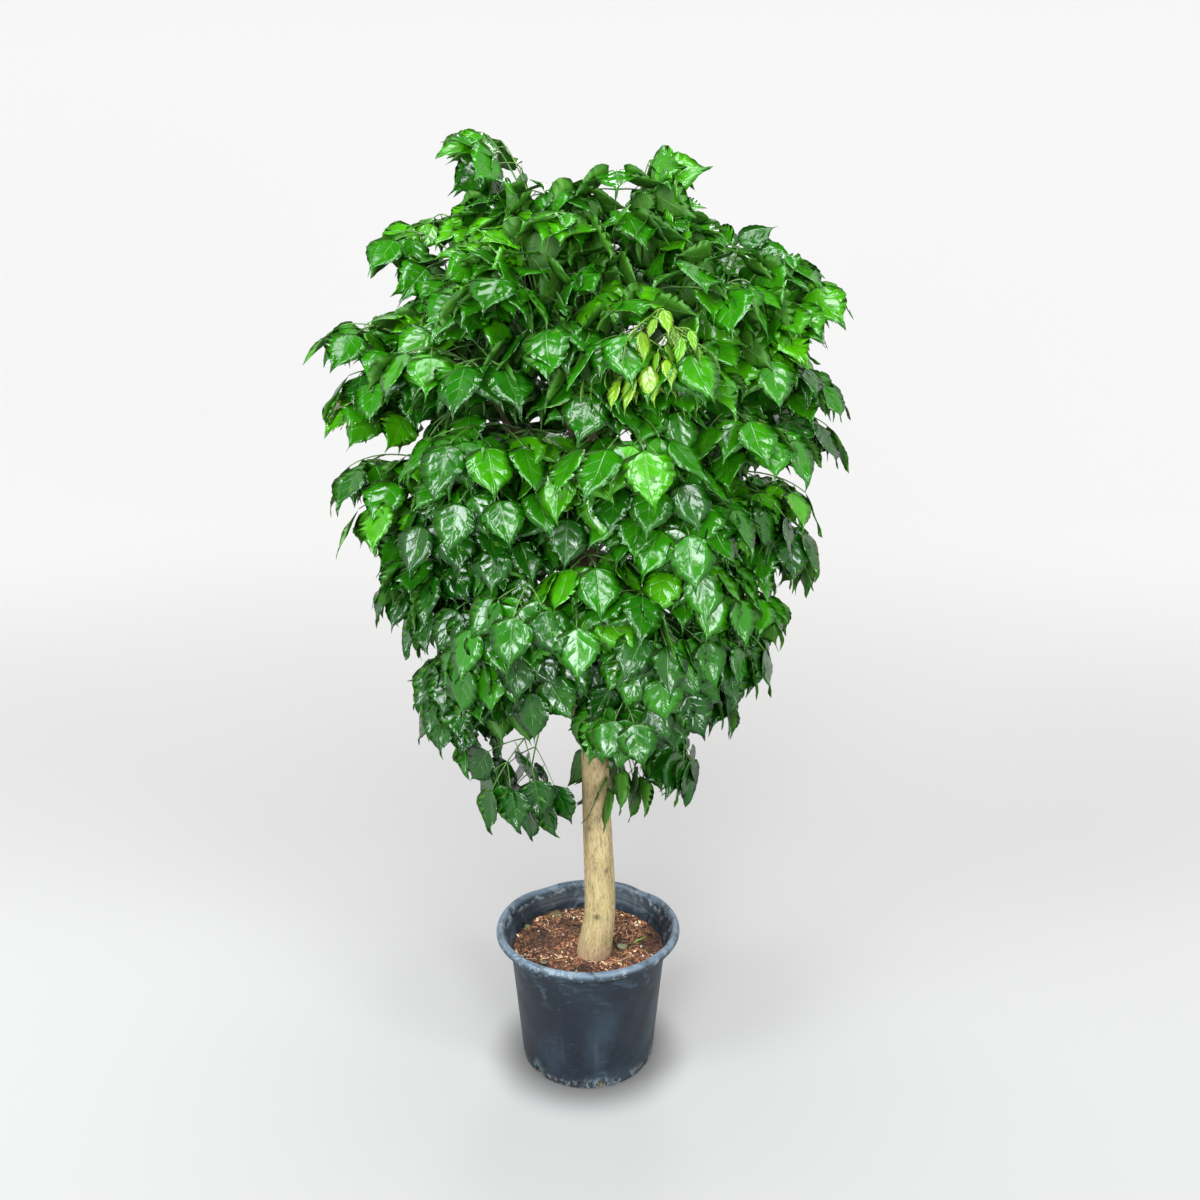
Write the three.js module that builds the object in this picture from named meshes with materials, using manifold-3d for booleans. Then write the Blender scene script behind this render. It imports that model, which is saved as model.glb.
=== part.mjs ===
// A china doll tree (Radermachera) grown as a standard: a bare pale trunk in a black nursery pot, and a
// round crown of leafy stems. Millimetres, +Z up, origin at the middle of the pot's flat base.
//
// Every leafy stem is one body: its green stem, its two compound leaves (the fronds) and their leaflets.
// A frond's leaflets here are the one at its end and those at the ends of its side stalks (the pinnae),
// as far as they hang clear of every other stem.
import * as THREE from "three";
import { mergeVertices } from "three/addons/utils/BufferGeometryUtils.js";
import Module from "manifold-3d";

const wasm = await Module();
wasm.setup();

const vec = (x, y, z) => new THREE.Vector3(x, y, z);
const up = vec(0, 0, 1);
const degrees = Math.PI / 180;

// ---------------------------------------------------------------- driving dimensions
const fitGap = 0.3; // between bodies that touch

const pot = {
  height: 262,
  rimRadius: 165, // outside of the rolled rim
  mouthRadius: 153, // inside of the rim
  baseRadius: 119,
  shoulderRadius: 141, // outside of the wall under the rim
  wall: 3.2,
  floor: 4,
  lipDrop: 17, // how far the rolled rim hangs down
  footRound: 9,
  sides: 32,
};
const drain = { count: 6, width: 21, height: 19, firstAngle: -78 * degrees };

const soil = { top: 216, mound: 7 };

const trunk = {
  route: [vec(8, -30, 74), vec(11, -29, 215), vec(22, -27, 305), vec(18, -23, 440), vec(12, -16, 640)],
  radii: [36, 31, 27.5, 25.5, 22.5],
  sides: 12,
  stations: [0, 0.25, 0.4, 0.55, 0.7, 0.85, 1],
};
const forkHeight = 640;

// The limbs that the trunk forks into: heading, how far out and how high the tip is, radius at the fork.
const limbs = [
  { heading: 182, reach: 125, top: 1160, radius: 13 },
  { heading: 8, reach: 100, top: 1150, radius: 12.5 },
  { heading: 268, reach: 90, top: 1190, radius: 11 },
  { heading: 92, reach: 95, top: 1185, radius: 11.5 },
  { heading: 150, reach: 22, top: 1200, radius: 13.5 },
];
const leader = limbs.length - 1;
const limbTipRadius = 6;
const limbSides = 6;

// The crown's widest outline, as seen from the front: where the stems at its two edges reach, [x, z].
const edgeTips = [
  [-110, 470], [-235, 590], [-300, 665], [-390, 870], [-430, 1095], [-425, 1215], [-425, 1325],
  [-345, 1475], [-175, 1625],
  [95, 465], [185, 565], [270, 650], [325, 765], [405, 915], [400, 1040], [450, 1222], [385, 1395],
  [270, 1455], [105, 1590],
];
// The rings of stems over its front and its back: [height, radius, stems on each side].
const rings = [
  [700, 225, 1], [785, 300, 2], [900, 350, 2], [1030, 385, 2], [1160, 400, 3], [1290, 395, 2],
  [1395, 350, 2], [1500, 235, 1],
];
const crown = { middle: 1080, halfHeight: 570, halfWidth: 430 };
const lowestStem = 680; // a stem never ends lower: the low fronds hang
const frondReach = 235; // from a stem's end to the crown's surface

const stem = {
  rootHalfWidth: 3.6,
  tipHalfWidth: 2,
  stations: [0, 0.4, 0.75, 1],
  secondFrondAt: 0.75,
};
const stemClearance = 9; // between the middle lines of the stalks of two stems
const woodClearance = 16; // between a stalk and the middle line of a limb that it passes
const leaflet = { length: 76, width: 62, thickness: 1.3, arch: 0.2, fold: 0.1 };
// A leaflet's half outline, [share of its length, share of its half width]: round shoulders, drip tip.
const leafletOutline = [[0.13, 0.72], [0.42, 1.0], [0.76, 0.42]];
const leafletHeart = 0.44; // where along its length the fold is deepest
const leafletSag = 0.85; // how much of its stalk's rise a leaflet loses
const rachis = { halfWidth: 1.5, keel: 2.4 };
const testClearance = 1.6; // extra thickness of a leaflet while it is tried against its neighbours

// The pairs of pinnae along a frond: where they leave the rachis, and their length, as shares of the
// frond's length, and the angle that they make with it.
const pinnae = [
  { at: 0.36, length: 0.33, angle: 60 },
  { at: 0.66, length: 0.22, angle: 55 },
];

// ---------------------------------------------------------------- growth rule
// Park and Miller's minimal random numbers, from 0 to 1, started for each stem by its own number.
function seeded(seed) {
  let state = (seed * 7919 + 104729) % 2147483647;
  const next = () => {
    state = (state * 16807) % 2147483647;
    return state / 2147483647;
  };
  next();
  next();
  return (low, high) => low + (high - low) * next();
}

const bezier = (a, b, c, t) =>
  a.clone().multiplyScalar((1 - t) ** 2).addScaledVector(b, 2 * t * (1 - t)).addScaledVector(c, t * t);
const bezierHeading = (a, b, c, t) =>
  b.clone().sub(a).multiplyScalar(1 - t).addScaledVector(c.clone().sub(b), t).normalize();
// The part of v that is square to axis, one unit long.
const squareTo = (v, axis) => v.clone().addScaledVector(axis, -v.dot(axis)).normalize();

// A point on a limb's middle line.
function limbPoint(limb, t) {
  const fork = trunk.route[trunk.route.length - 1];
  const out = limb.reach * (1 - (1 - t) ** 3);
  const heading = limb.heading * degrees;
  return vec(
    fork.x + out * Math.cos(heading),
    fork.y + out * Math.sin(heading),
    forkHeight - 12 + (limb.top - forkHeight + 12) * t,
  );
}

// Where each stem's first frond reaches, on the crown's surface.
function crownTips() {
  const tips = edgeTips.map(([x, z], i) => vec(x, i % 2 ? 45 : -45, z));
  rings.forEach(([height, radius, perSide], ring) => {
    for (const side of [-1, 1])
      for (let k = 0; k < perSide; k++) {
        const spread = ((k + 0.5) / perSide) * 136 + 22 + (side > 0 ? 9 : -4) + (ring % 2 ? 14 : -10);
        const azimuth = side * spread * degrees;
        tips.push(vec(radius * Math.cos(azimuth), radius * Math.sin(azimuth), height));
      }
  });
  return tips;
}

// The way out of the crown at a point of its surface.
function outward(point) {
  return vec(
    point.x / crown.halfWidth ** 2,
    point.y / crown.halfWidth ** 2,
    (point.z - crown.middle) / crown.halfHeight ** 2,
  ).normalize();
}

function nearestLimb(tip) {
  if (tip.z > 1400) return leader;
  const azimuth = Math.atan2(tip.y, tip.x) / degrees;
  let best = 0;
  let least = 360;
  for (let i = 0; i < leader; i++) {
    const apart = Math.abs(((limbs[i].heading - azimuth + 540) % 360) - 180);
    if (apart < least) {
      least = apart;
      best = i;
    }
  }
  return best;
}

// A compound leaf: its rachis is the curve root, bend, end, and over is the way its upper face looks.
function growFrond(root, tip, random) {
  const out = outward(tip);
  const level = Math.min(Math.max((tip.z - 500) / 950, 0), 1);
  const chord = tip.clone().sub(root);
  const bend = root.clone().addScaledVector(chord, random(0.5, 0.6));
  bend.addScaledVector(up, chord.length() * random(0.16, 0.3));
  return {
    root,
    bend,
    end: tip.clone().addScaledVector(chord, -0.2).addScaledVector(up, 0.12 * leaflet.length),
    over: up.clone().multiplyScalar(0.3 + 0.9 * level).addScaledVector(out, 1 - 0.6 * level),
    length: chord.length(),
    roll: random(-0.25, 0.25),
    droop: random(0.7, 1.1) * (1.25 - 0.6 * level),
    size: random(0.9, 1.08),
  };
}

// A leafy stem: the curve root, bend, end from its limb outwards, and its fronds.
function growStem(tip, name, random) {
  const out = outward(tip);
  const limb = limbs[nearestLimb(tip)];
  const low = Math.min(Math.max(Math.hypot(tip.x, tip.y) / 360, 0.6), 1);
  const end = tip.clone().addScaledVector(out, -frondReach * (tip.z < crown.middle ? low : 1));
  end.add(vec(random(-38, 38), random(-38, 38), random(-25, 25)));
  end.z = Math.max(end.z, lowestStem);
  const share = (end.z - random(30, 150) - forkHeight) / (limb.top - forkHeight);
  const root = limbPoint(limb, Math.min(Math.max(share, random(0.07, 0.2)), random(0.75, 1)));
  const bend = root.clone().lerp(end, 0.5);
  bend.addScaledVector(up, random(0.1, 0.25) * root.distanceTo(end));
  const across = out.clone().cross(up).normalize();
  const along = across.clone().cross(out);
  const turn = random(0, 360) * degrees;
  const aside = random(105, 140);
  const second = tip
    .clone()
    .addScaledVector(across, aside * Math.cos(turn))
    .addScaledVector(along, aside * Math.sin(turn) * 0.8)
    .addScaledVector(out, -random(15, 45));
  const fork = bezier(root, bend, end, stem.secondFrondAt);
  const fronds = [growFrond(end, tip, random), growFrond(fork, second, random)];
  return { name, limb, root, bend, end, fronds };
}

// Points a few millimetres apart along a stalk that is straight between its stations.
function linePoints({ root, bend, end }, stations) {
  const corners = stations.map((t) => bezier(root, bend, end, t));
  return corners.slice(1).flatMap((to, i) => {
    const count = Math.ceil(to.distanceTo(corners[i]) / 6);
    return Array.from({ length: count }, (_, k) => corners[i].clone().lerp(to, (k + 1) / count));
  });
}

// Points along all the stalks of a stem.
function stalkPoints(s) {
  const frondStations = [0, ...pinnae.map((pinna) => pinna.at), 1];
  return [
    ...linePoints(s, stem.stations),
    ...s.fronds.flatMap((frond) => linePoints(frond, frondStations)),
  ];
}

const near = (points, others, distance) =>
  points.some((p) => others.some((q) => p.distanceToSquared(q) < distance * distance));

// Grows the stems one after another: each takes the first of its draws that hangs clear of the others.
function growStems() {
  const limbLines = limbs.map((limb) =>
    Array.from({ length: 60 }, (_, i) => limbPoint(limb, (i + 1) / 60)),
  );
  const taken = [];
  return crownTips().map((tip, i) => {
    const name = "leafy_stem_" + String(i + 1).padStart(2, "0");
    for (let draw = 0; draw < 500; draw++) {
      const s = growStem(tip, name, seeded(i + 1 + 100 * draw));
      const points = stalkPoints(s);
      const free = points.filter((p) => p.distanceTo(s.root) > 45);
      const clear = limbLines.every(
        (line, k) => !near(limbs[k] === s.limb ? free : points, line, woodClearance),
      );
      if (!clear || near(points, taken, stemClearance)) continue;
      taken.push(...points);
      return s;
    }
    throw new Error("no clear place for " + name);
  });
}

// The frame of a frond at t along its rachis: place, heading, upper side and right side.
function frondFrame(frond, t) {
  const heading = bezierHeading(frond.root, frond.bend, frond.end, t);
  const upper = squareTo(frond.over, heading);
  const right = heading.clone().cross(upper);
  upper.multiplyScalar(Math.cos(frond.roll)).addScaledVector(right, Math.sin(frond.roll));
  return {
    place: bezier(frond.root, frond.bend, frond.end, t),
    heading,
    upper,
    right: heading.clone().cross(upper),
  };
}

// A heading that is pulled down by weight, and more so where it rises: a leaflet never stands up.
function hang(heading, weight) {
  const pull = weight + leafletSag * Math.max(heading.z, 0);
  return heading.clone().addScaledVector(up, -pull).normalize();
}

// The outer leaflets of a frond: the one at its end, then the one at the end of each pinna.
function outerLeaflets(frond) {
  const end = frondFrame(frond, 1);
  const found = [
    {
      pair: pinnae.length,
      side: 0,
      base: end.place,
      axis: hang(end.heading, frond.droop * 0.6),
      upper: end.upper,
      size: frond.size * 1.05,
    },
  ];
  pinnae.forEach((pinna, pair) => {
    const at = frondFrame(frond, pinna.at);
    for (const side of [-1, 1]) {
      const angle = pinna.angle * degrees;
      const heading = at.heading
        .clone()
        .multiplyScalar(Math.cos(angle))
        .addScaledVector(at.right, side * Math.sin(angle));
      const arm = hang(heading, frond.droop * 0.35);
      found.push({
        pair,
        side,
        base: at.place.clone().addScaledVector(arm, pinna.length * frond.length),
        axis: hang(heading, frond.droop),
        upper: at.upper,
        size: frond.size,
      });
    }
  });
  return found;
}

// ---------------------------------------------------------------- shells
// A closed surface that is put together face by face. A stalk's section is [left, right, keel].
class Shell {
  points = [];
  faces = [];

  point(at, ...moves) {
    const p = at.clone();
    for (const [direction, distance] of moves) p.addScaledVector(direction, distance);
    this.points.push(p);
    return this.points.length - 1;
  }

  face(...corners) {
    for (let i = 2; i < corners.length; i++) this.faces.push(corners[0], corners[i - 1], corners[i]);
  }

  section(at, right, upper, halfWidth, keel) {
    return [
      this.point(at, [right, -halfWidth], [upper, keel / 2]),
      this.point(at, [right, halfWidth], [upper, keel / 2]),
      this.point(at, [upper, -keel / 2]),
    ];
  }

  span([l0, r0, k0], [l1, r1, k1]) {
    this.face(l0, r0, r1, l1);
    this.face(l0, l1, k1, k0);
    this.face(r0, k0, k1, r1);
  }

  startCap([left, right, keel]) {
    this.face(left, keel, right);
  }

  endCap([left, right, keel]) {
    this.face(left, right, keel);
  }

  // A leaflet's blade, grown on the open section of its stalk.
  blade([left, right, keel], leaf, thickness) {
    const length = leaflet.length * leaf.size;
    const halfWidth = (leaflet.width * leaf.size) / 2;
    const upper = squareTo(leaf.upper, leaf.axis);
    const across = leaf.axis.clone().cross(upper);
    const at = (share, aside, lift) =>
      this.point(
        leaf.base,
        [leaf.axis, share * length * (1 - 0.12 * share)],
        [upper, lift - leaflet.arch * share * share * length],
        [across, aside],
      );
    const edge = (side) =>
      leafletOutline.map(([share, wide]) => at(share, side * wide * halfWidth, 0));
    const rightEdge = edge(1);
    const tip = at(1, 0, 0);
    const leftEdge = edge(-1).reverse();
    const rim = [right, ...rightEdge, tip, ...leftEdge, left];
    const trough = -leaflet.fold * leaflet.width;
    const top = at(leafletHeart, 0, trough + thickness / 2);
    const under = at(leafletHeart, 0, trough - thickness / 2);
    this.face(top, left, right);
    this.face(under, right, keel);
    this.face(under, keel, left);
    for (let i = 1; i < rim.length; i++) {
      this.face(top, rim[i - 1], rim[i]);
      this.face(under, rim[i], rim[i - 1]);
    }
  }

  solid() {
    return solidOf(this.geometry());
  }

  geometry() {
    const geometry = new THREE.BufferGeometry();
    geometry.setFromPoints(this.points);
    geometry.setIndex(this.faces);
    return geometry;
  }
}

// A round tapering rod along a curve, closed at both ends, with a ring of points at each station.
function rod(curve, radiusAt, sides, stations) {
  const shell = new Shell();
  let across = null;
  const loops = stations.map((t) => {
    const heading = curve.getTangent(t);
    across = squareTo(across ?? (Math.abs(heading.x) < 0.9 ? vec(1, 0, 0) : vec(0, 1, 0)), heading);
    const third = heading.clone().cross(across);
    const radius = radiusAt(t);
    return Array.from({ length: sides }, (_, k) => {
      const angle = (k / sides) * 2 * Math.PI;
      return shell.point(
        curve.getPoint(t),
        [across, radius * Math.cos(angle)],
        [third, radius * Math.sin(angle)],
      );
    });
  });
  for (let i = 1; i < loops.length; i++)
    for (let k = 0; k < sides; k++) {
      const next = (k + 1) % sides;
      shell.face(loops[i - 1][k], loops[i - 1][next], loops[i][next], loops[i][k]);
    }
  shell.face(...loops[0].slice().reverse());
  shell.face(...loops[loops.length - 1]);
  return shell.solid();
}

// ---------------------------------------------------------------- solids
function solidOf(geometry) {
  const plain = geometry.clone();
  plain.deleteAttribute("normal");
  plain.deleteAttribute("uv");
  const merged = mergeVertices(plain, 1e-3);
  return new wasm.Manifold(
    new wasm.Mesh({
      numProp: 3,
      vertProperties: merged.attributes.position.array,
      triVerts: new Uint32Array(merged.index.array),
    }),
  );
}

function geometryOf(solid) {
  const mesh = solid.getMesh();
  const geometry = new THREE.BufferGeometry();
  geometry.setAttribute("position", new THREE.BufferAttribute(mesh.vertProperties, 3));
  geometry.setIndex(new THREE.BufferAttribute(mesh.triVerts, 1));
  geometry.computeVertexNormals();
  return geometry;
}

const joined = (solids) => solids.reduce((sum, s) => sum.add(s));

const inside = (solids, candidate) => {
  const box = candidate.boundingBox();
  return solids.some(
    (s) =>
      [0, 1, 2].every((i) => s.box.min[i] <= box.max[i] && box.min[i] <= s.box.max[i]) &&
      !s.solid.intersect(candidate).isEmpty(),
  );
};

// The pot: a lathe-turned wall with a rolled rim, with arched drain holes through the foot of the wall.
function potSolid() {
  const { height, rimRadius, mouthRadius, baseRadius, shoulderRadius, wall, floor } = pot;
  const profile = [
    [0, 0],
    [baseRadius - pot.footRound, 0],
    [baseRadius - 2, 0.25 * pot.footRound],
    [baseRadius + 1, pot.footRound],
    [shoulderRadius, height - 36],
    [shoulderRadius + 9, height - pot.lipDrop],
    [rimRadius - 2, height - pot.lipDrop],
    [rimRadius, height - 0.6 * pot.lipDrop],
    [rimRadius - 3, height - 2],
    [rimRadius - 7, height],
    [mouthRadius, height - 1.5],
    [shoulderRadius - wall, height - 36],
    [baseRadius - wall, floor + 5],
    [baseRadius - pot.footRound, floor],
    [0, floor],
  ];
  const outline = profile.map(([x, y]) => new THREE.Vector2(x, y));
  const turned = new THREE.LatheGeometry(outline, pot.sides);
  turned.rotateX(Math.PI / 2);
  return withDrainHoles(solidOf(turned));
}

// Cuts the arched drain holes where the pot's wall meets its floor.
function withDrainHoles(body) {
  const arch = new THREE.Shape();
  arch.moveTo(-drain.width / 2, -5);
  arch.lineTo(drain.width / 2, -5);
  arch.lineTo(drain.width / 2, drain.height * 0.45);
  arch.lineTo(drain.width / 4, drain.height);
  arch.lineTo(-drain.width / 4, drain.height);
  arch.lineTo(-drain.width / 2, drain.height * 0.45);
  arch.closePath();
  const inner = pot.baseRadius - pot.footRound - 4;
  let cut = body;
  for (let i = 0; i < drain.count; i++) {
    const plug = new THREE.ExtrudeGeometry(arch, { depth: 30, bevelEnabled: false });
    plug.rotateX(Math.PI / 2);
    plug.rotateZ(Math.PI);
    plug.translate(0, inner, 0);
    plug.rotateZ(drain.firstAngle - Math.PI / 2 + (i / drain.count) * 2 * Math.PI);
    cut = cut.subtract(solidOf(plug));
  }
  return cut;
}

// The potting mix: it fills the pot up to below the rim, and is heaped up a little round the trunk.
function soilSolid(trunkSocket) {
  const { baseRadius, shoulderRadius, wall, floor, height } = pot;
  const wallRadius = (z) => {
    const share = (z - floor - 5) / (height - 36 - floor - 5);
    return baseRadius - wall + (shoulderRadius - baseRadius) * share;
  };
  const edge = wallRadius(soil.top) - 2 * fitGap;
  const profile = [
    [0, floor + fitGap],
    [baseRadius - pot.footRound - 2, floor + fitGap],
    [wallRadius(floor + 12) - 2 * fitGap, floor + 12],
    [edge, soil.top],
    [edge * 0.8, soil.top + 2],
    [edge * 0.45, soil.top + soil.mound],
    [0, soil.top + soil.mound],
  ];
  const turned = new THREE.LatheGeometry(
    profile.map(([x, y]) => new THREE.Vector2(x, y)),
    pot.sides,
  );
  turned.rotateX(Math.PI / 2);
  return solidOf(turned).subtract(trunkSocket);
}

// The trunk with its limbs. grown is an extra thickness, for the sockets that it stands in.
function woodSolids(grown) {
  const trunkCurve = new THREE.CatmullRomCurve3(trunk.route);
  const radiusAt = (t) => {
    const place = t * (trunk.radii.length - 1);
    const i = Math.min(Math.floor(place), trunk.radii.length - 2);
    return trunk.radii[i] + (trunk.radii[i + 1] - trunk.radii[i]) * (place - i) + grown;
  };
  const bole = rod(trunkCurve, radiusAt, trunk.sides, trunk.stations);
  const arms = limbs.map((limb) => {
    const points = [0, 0.08, 0.2, 0.4, 0.7, 1].map((t) => limbPoint(limb, t));
    const curve = new THREE.CatmullRomCurve3(points);
    const taper = (t) => limb.radius + (limbTipRadius - limb.radius) * t + grown;
    return rod(curve, taper, limbSides, [0, 0.2, 0.4, 0.6, 0.8, 1]);
  });
  return [bole, ...arms];
}

// A stem's stalk, as a shell that is open at the stem's end: [shell, its last section].
function stemShell(s) {
  const shell = new Shell();
  const first = frondFrame(s.fronds[0], 0);
  let last = null;
  for (const t of stem.stations) {
    const heading = bezierHeading(s.root, s.bend, s.end, t);
    const upper = squareTo(first.upper, heading);
    const halfWidth = stem.rootHalfWidth + (stem.tipHalfWidth - stem.rootHalfWidth) * t;
    const place = bezier(s.root, s.bend, s.end, t);
    const next = shell.section(place, heading.clone().cross(upper), upper, halfWidth, halfWidth * 1.7);
    if (last) shell.span(last, next);
    else shell.startCap(next);
    last = next;
  }
  return [shell, last];
}

// A shell that starts inside a stem, for a frond that grows on its side: [shell, its first section].
function sideShell(frond) {
  const shell = new Shell();
  const root = frondFrame(frond, 0);
  const into = root.place.clone().addScaledVector(root.heading, -1);
  const first = shell.section(into, root.right, root.upper, rachis.halfWidth, rachis.keel);
  shell.startCap(first);
  return [shell, first];
}

// Grows a frond's stalks, and the leaflets that are kept, on the open end of a shell.
function growStalks([shell, start], frond, kept) {
  let last = start;
  pinnae.forEach((pinna, pair) => {
    const { place, heading, upper, right } = frondFrame(frond, pinna.at);
    const corner = (side, forward) =>
      shell.point(
        place,
        [right, side * rachis.halfWidth],
        [heading, forward * 2],
        [upper, rachis.keel / 2],
      );
    const [leftBack, leftFront] = [corner(-1, -1), corner(-1, 1)];
    const [rightBack, rightFront] = [corner(1, -1), corner(1, 1)];
    const keel = shell.point(place, [upper, -rachis.keel / 2]);
    shell.span(last, [leftBack, rightBack, keel]);
    shell.face(leftBack, rightBack, rightFront, leftFront);
    const sockets = { [-1]: [leftBack, leftFront, keel], 1: [rightFront, rightBack, keel] };
    for (const side of [-1, 1]) {
      const leaf = kept.find((l) => l.pair === pair && l.side === side);
      if (leaf) growLeaflet(shell, sockets[side], leaf, leaflet.thickness);
      else shell.endCap(sockets[side]);
    }
    last = [leftFront, rightFront, keel];
  });
  const end = frondFrame(frond, 1);
  const tip = shell.section(end.place, end.right, end.upper, rachis.halfWidth * 0.8, rachis.keel * 0.8);
  shell.span(last, tip);
  const terminal = kept.find((l) => l.side === 0);
  if (terminal) shell.blade(tip, terminal, leaflet.thickness);
  else shell.endCap(tip);
  return shell.solid();
}

// A leaflet with the stalk that joins it to an open socket of the rachis.
function growLeaflet(shell, socket, leaf, thickness) {
  const across = leaf.axis.clone().cross(squareTo(leaf.upper, leaf.axis));
  const neck = shell.section(
    leaf.base,
    across,
    squareTo(leaf.upper, leaf.axis),
    rachis.halfWidth * 0.8,
    rachis.keel * 0.7,
  );
  shell.span(socket, neck);
  shell.blade(neck, leaf, thickness);
}

// A leaflet by itself, thickened, to be tried against what is already there.
function leafletTrial(frond, leaf) {
  const shell = new Shell();
  const start = leaf.side ? frondFrame(frond, pinnae[leaf.pair].at) : frondFrame(frond, 0.93);
  const aside = leaf.base.clone().sub(start.place).normalize();
  const from = start.place.clone().addScaledVector(aside, 3);
  const across = aside.clone().cross(squareTo(leaf.upper, aside));
  const socket = shell.section(from, across, squareTo(leaf.upper, aside), 2.2, rachis.keel * 1.5);
  shell.startCap(socket);
  growLeaflet(shell, socket, leaf, leaflet.thickness + testClearance);
  return shell.solid();
}

// ---------------------------------------------------------------- the plant
const stems = growStems();
const wood = woodSolids(0);
const woodSocket = woodSolids(fitGap);

const boxed = (owner, solid) => ({ owner, solid, box: solid.boundingBox() });
const placed = woodSocket.map((solid) => boxed("wood", solid));

const frondSolid = (s, i) =>
  growStalks(i ? sideShell(s.fronds[i]) : stemShell(s), s.fronds[i], s.fronds[i].kept);

// The stems and the stalks of all their fronds come first, so that every frond is there.
for (const s of stems)
  s.fronds.forEach((frond, i) => {
    frond.kept = [];
    frond.candidates = outerLeaflets(frond);
    placed.push(boxed(frond, frondSolid(s, i)));
  });
// Then each frond takes its leaflets, outermost first, where they hang clear of all that is there.
for (let round = 0; round <= 2 * pinnae.length; round++)
  for (const { fronds } of stems)
    for (const frond of fronds) {
      const leaf = frond.candidates[round];
      const trial = leafletTrial(frond, leaf);
      if (inside(placed.filter((p) => p.owner !== frond), trial)) continue;
      frond.kept.push(leaf);
      placed.push(boxed(leaf, trial));
    }

// A stem with its fronds, cut clear of its limb. A scrap that is cut loose is dropped.
function stemSolid(s) {
  const whole = frondSolid(s, 0).add(frondSolid(s, 1));
  const parts = whole.subtract(joined(woodSocket)).decompose();
  return parts.reduce((a, b) => (b.volume() > a.volume() ? b : a));
}

// ---------------------------------------------------------------- materials and scene graph
const material = (color, roughness, metalness = 0) =>
  new THREE.MeshStandardMaterial({ color, roughness, metalness, side: THREE.DoubleSide });
const finishes = {
  plastic: material(0x26303a, 0.5),
  mix: material(0x5a3420, 0.95),
  bark: material(0xb9a06a, 0.85),
  leaf: material(0x1f7a1c, 0.3),
};

const plant = new THREE.Group();
function add(name, solid, finish) {
  const mesh = new THREE.Mesh(geometryOf(solid), finish);
  mesh.name = name;
  plant.add(mesh);
}
add("pot", potSolid(), finishes.plastic);
add("potting_mix", soilSolid(woodSocket[0]), finishes.mix);
add("trunk_and_limbs", joined(wood), finishes.bark);
for (const s of stems) add(s.name, stemSolid(s), finishes.leaf);

export default plant;
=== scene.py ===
import math
import random

import bpy
import mathutils
import numpy as np
from mathutils import Matrix, Vector


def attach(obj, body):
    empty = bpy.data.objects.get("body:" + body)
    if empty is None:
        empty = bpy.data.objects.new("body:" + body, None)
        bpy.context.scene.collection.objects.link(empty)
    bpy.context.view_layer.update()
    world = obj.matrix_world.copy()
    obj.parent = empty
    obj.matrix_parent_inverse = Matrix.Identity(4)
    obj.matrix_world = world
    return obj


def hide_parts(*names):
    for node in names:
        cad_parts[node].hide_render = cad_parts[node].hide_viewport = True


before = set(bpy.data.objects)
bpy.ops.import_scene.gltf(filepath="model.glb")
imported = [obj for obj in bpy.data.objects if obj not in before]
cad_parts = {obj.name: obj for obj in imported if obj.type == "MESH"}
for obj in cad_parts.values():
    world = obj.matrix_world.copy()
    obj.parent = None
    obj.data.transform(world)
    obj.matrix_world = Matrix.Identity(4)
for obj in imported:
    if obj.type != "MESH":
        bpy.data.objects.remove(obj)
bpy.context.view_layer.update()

# ------------------------------------------------------------------ the view
# The plant is seen from its front, from a standing person's height, looking down a little.
EYE = (0.022, -1.86, 1.37)
LOOK_DOWN = 15.1  # degrees below level
LENS, SENSOR_WIDTH = 34.5, 36.0  # mm
FARTHEST_SEEN = 60.0

camera_data = bpy.data.cameras.new("camera")
camera_data.lens = LENS
camera_data.sensor_width = SENSOR_WIDTH
camera_data.clip_end = FARTHEST_SEEN
camera = bpy.data.objects.new("camera", camera_data)
camera.location = EYE
camera.rotation_euler = (math.radians(90 - LOOK_DOWN), 0, 0)
bpy.context.scene.collection.objects.link(camera)
bpy.context.scene.camera = camera
bpy.context.scene.view_settings.view_transform = "Standard"

# ------------------------------------------------------------------ the studio
# A plain pale floor that sweeps up into a pale wall all round, lit by soft boxes overhead and in front.
# None of it is part of the plant.
SWEEP_FLAT = 5.0  # radius of the level floor
SWEEP_ROUND = 3.0  # radius of the curve up into the wall
SWEEP_TOP = 9.0
SWEEP_STEPS, SWEEP_SIDES = 16, 96
PAPER_WHITE = (0.257, 0.25, 0.245)
AIR_COLOUR, AIR_STRENGTH = (0.95, 0.97, 1.0), 0.04
SKY_WHITE, ROOF_WHITE = (0.95, 0.98, 1.0), (0.97, 0.99, 1.0)
WINDOW_WHITE, SIDE_WHITE = (0.91, 0.96, 1.0), (0.92, 0.97, 1.0)


def mesh_piece(name, points, faces, materials):
    mesh = bpy.data.meshes.new(name)
    mesh.from_pydata([tuple(p) for p in points], [], faces)
    for material in materials:
        mesh.materials.append(material)
    piece = bpy.data.objects.new(name, mesh)
    bpy.context.scene.collection.objects.link(piece)
    return piece


def smooth_all(piece):
    piece.data.polygons.foreach_set("use_smooth", [True] * len(piece.data.polygons))
    piece.data.update()


def on_circle(k, sides):
    """Where the k-th of so many points on a circle of radius 1 is."""
    turn = k / sides * 2 * math.pi
    return math.cos(turn), math.sin(turn)


def ring_faces(rings, sides):
    """The faces between rings of points, each of so many sides."""
    return [
        (low + k, low + (k + 1) % sides, low + sides + (k + 1) % sides, low + sides + k)
        for low in range(0, (rings - 1) * sides, sides)
        for k in range(sides)
    ]


def turned(outline, sides):
    """Points and faces of a shape turned on the upright axis. The outline is a list of (radius, height)."""
    circle = [on_circle(k, sides) for k in range(sides)]
    points = [(radius * x, radius * y, height) for radius, height in outline for x, y in circle]
    return points, ring_faces(len(outline), sides)


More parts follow.
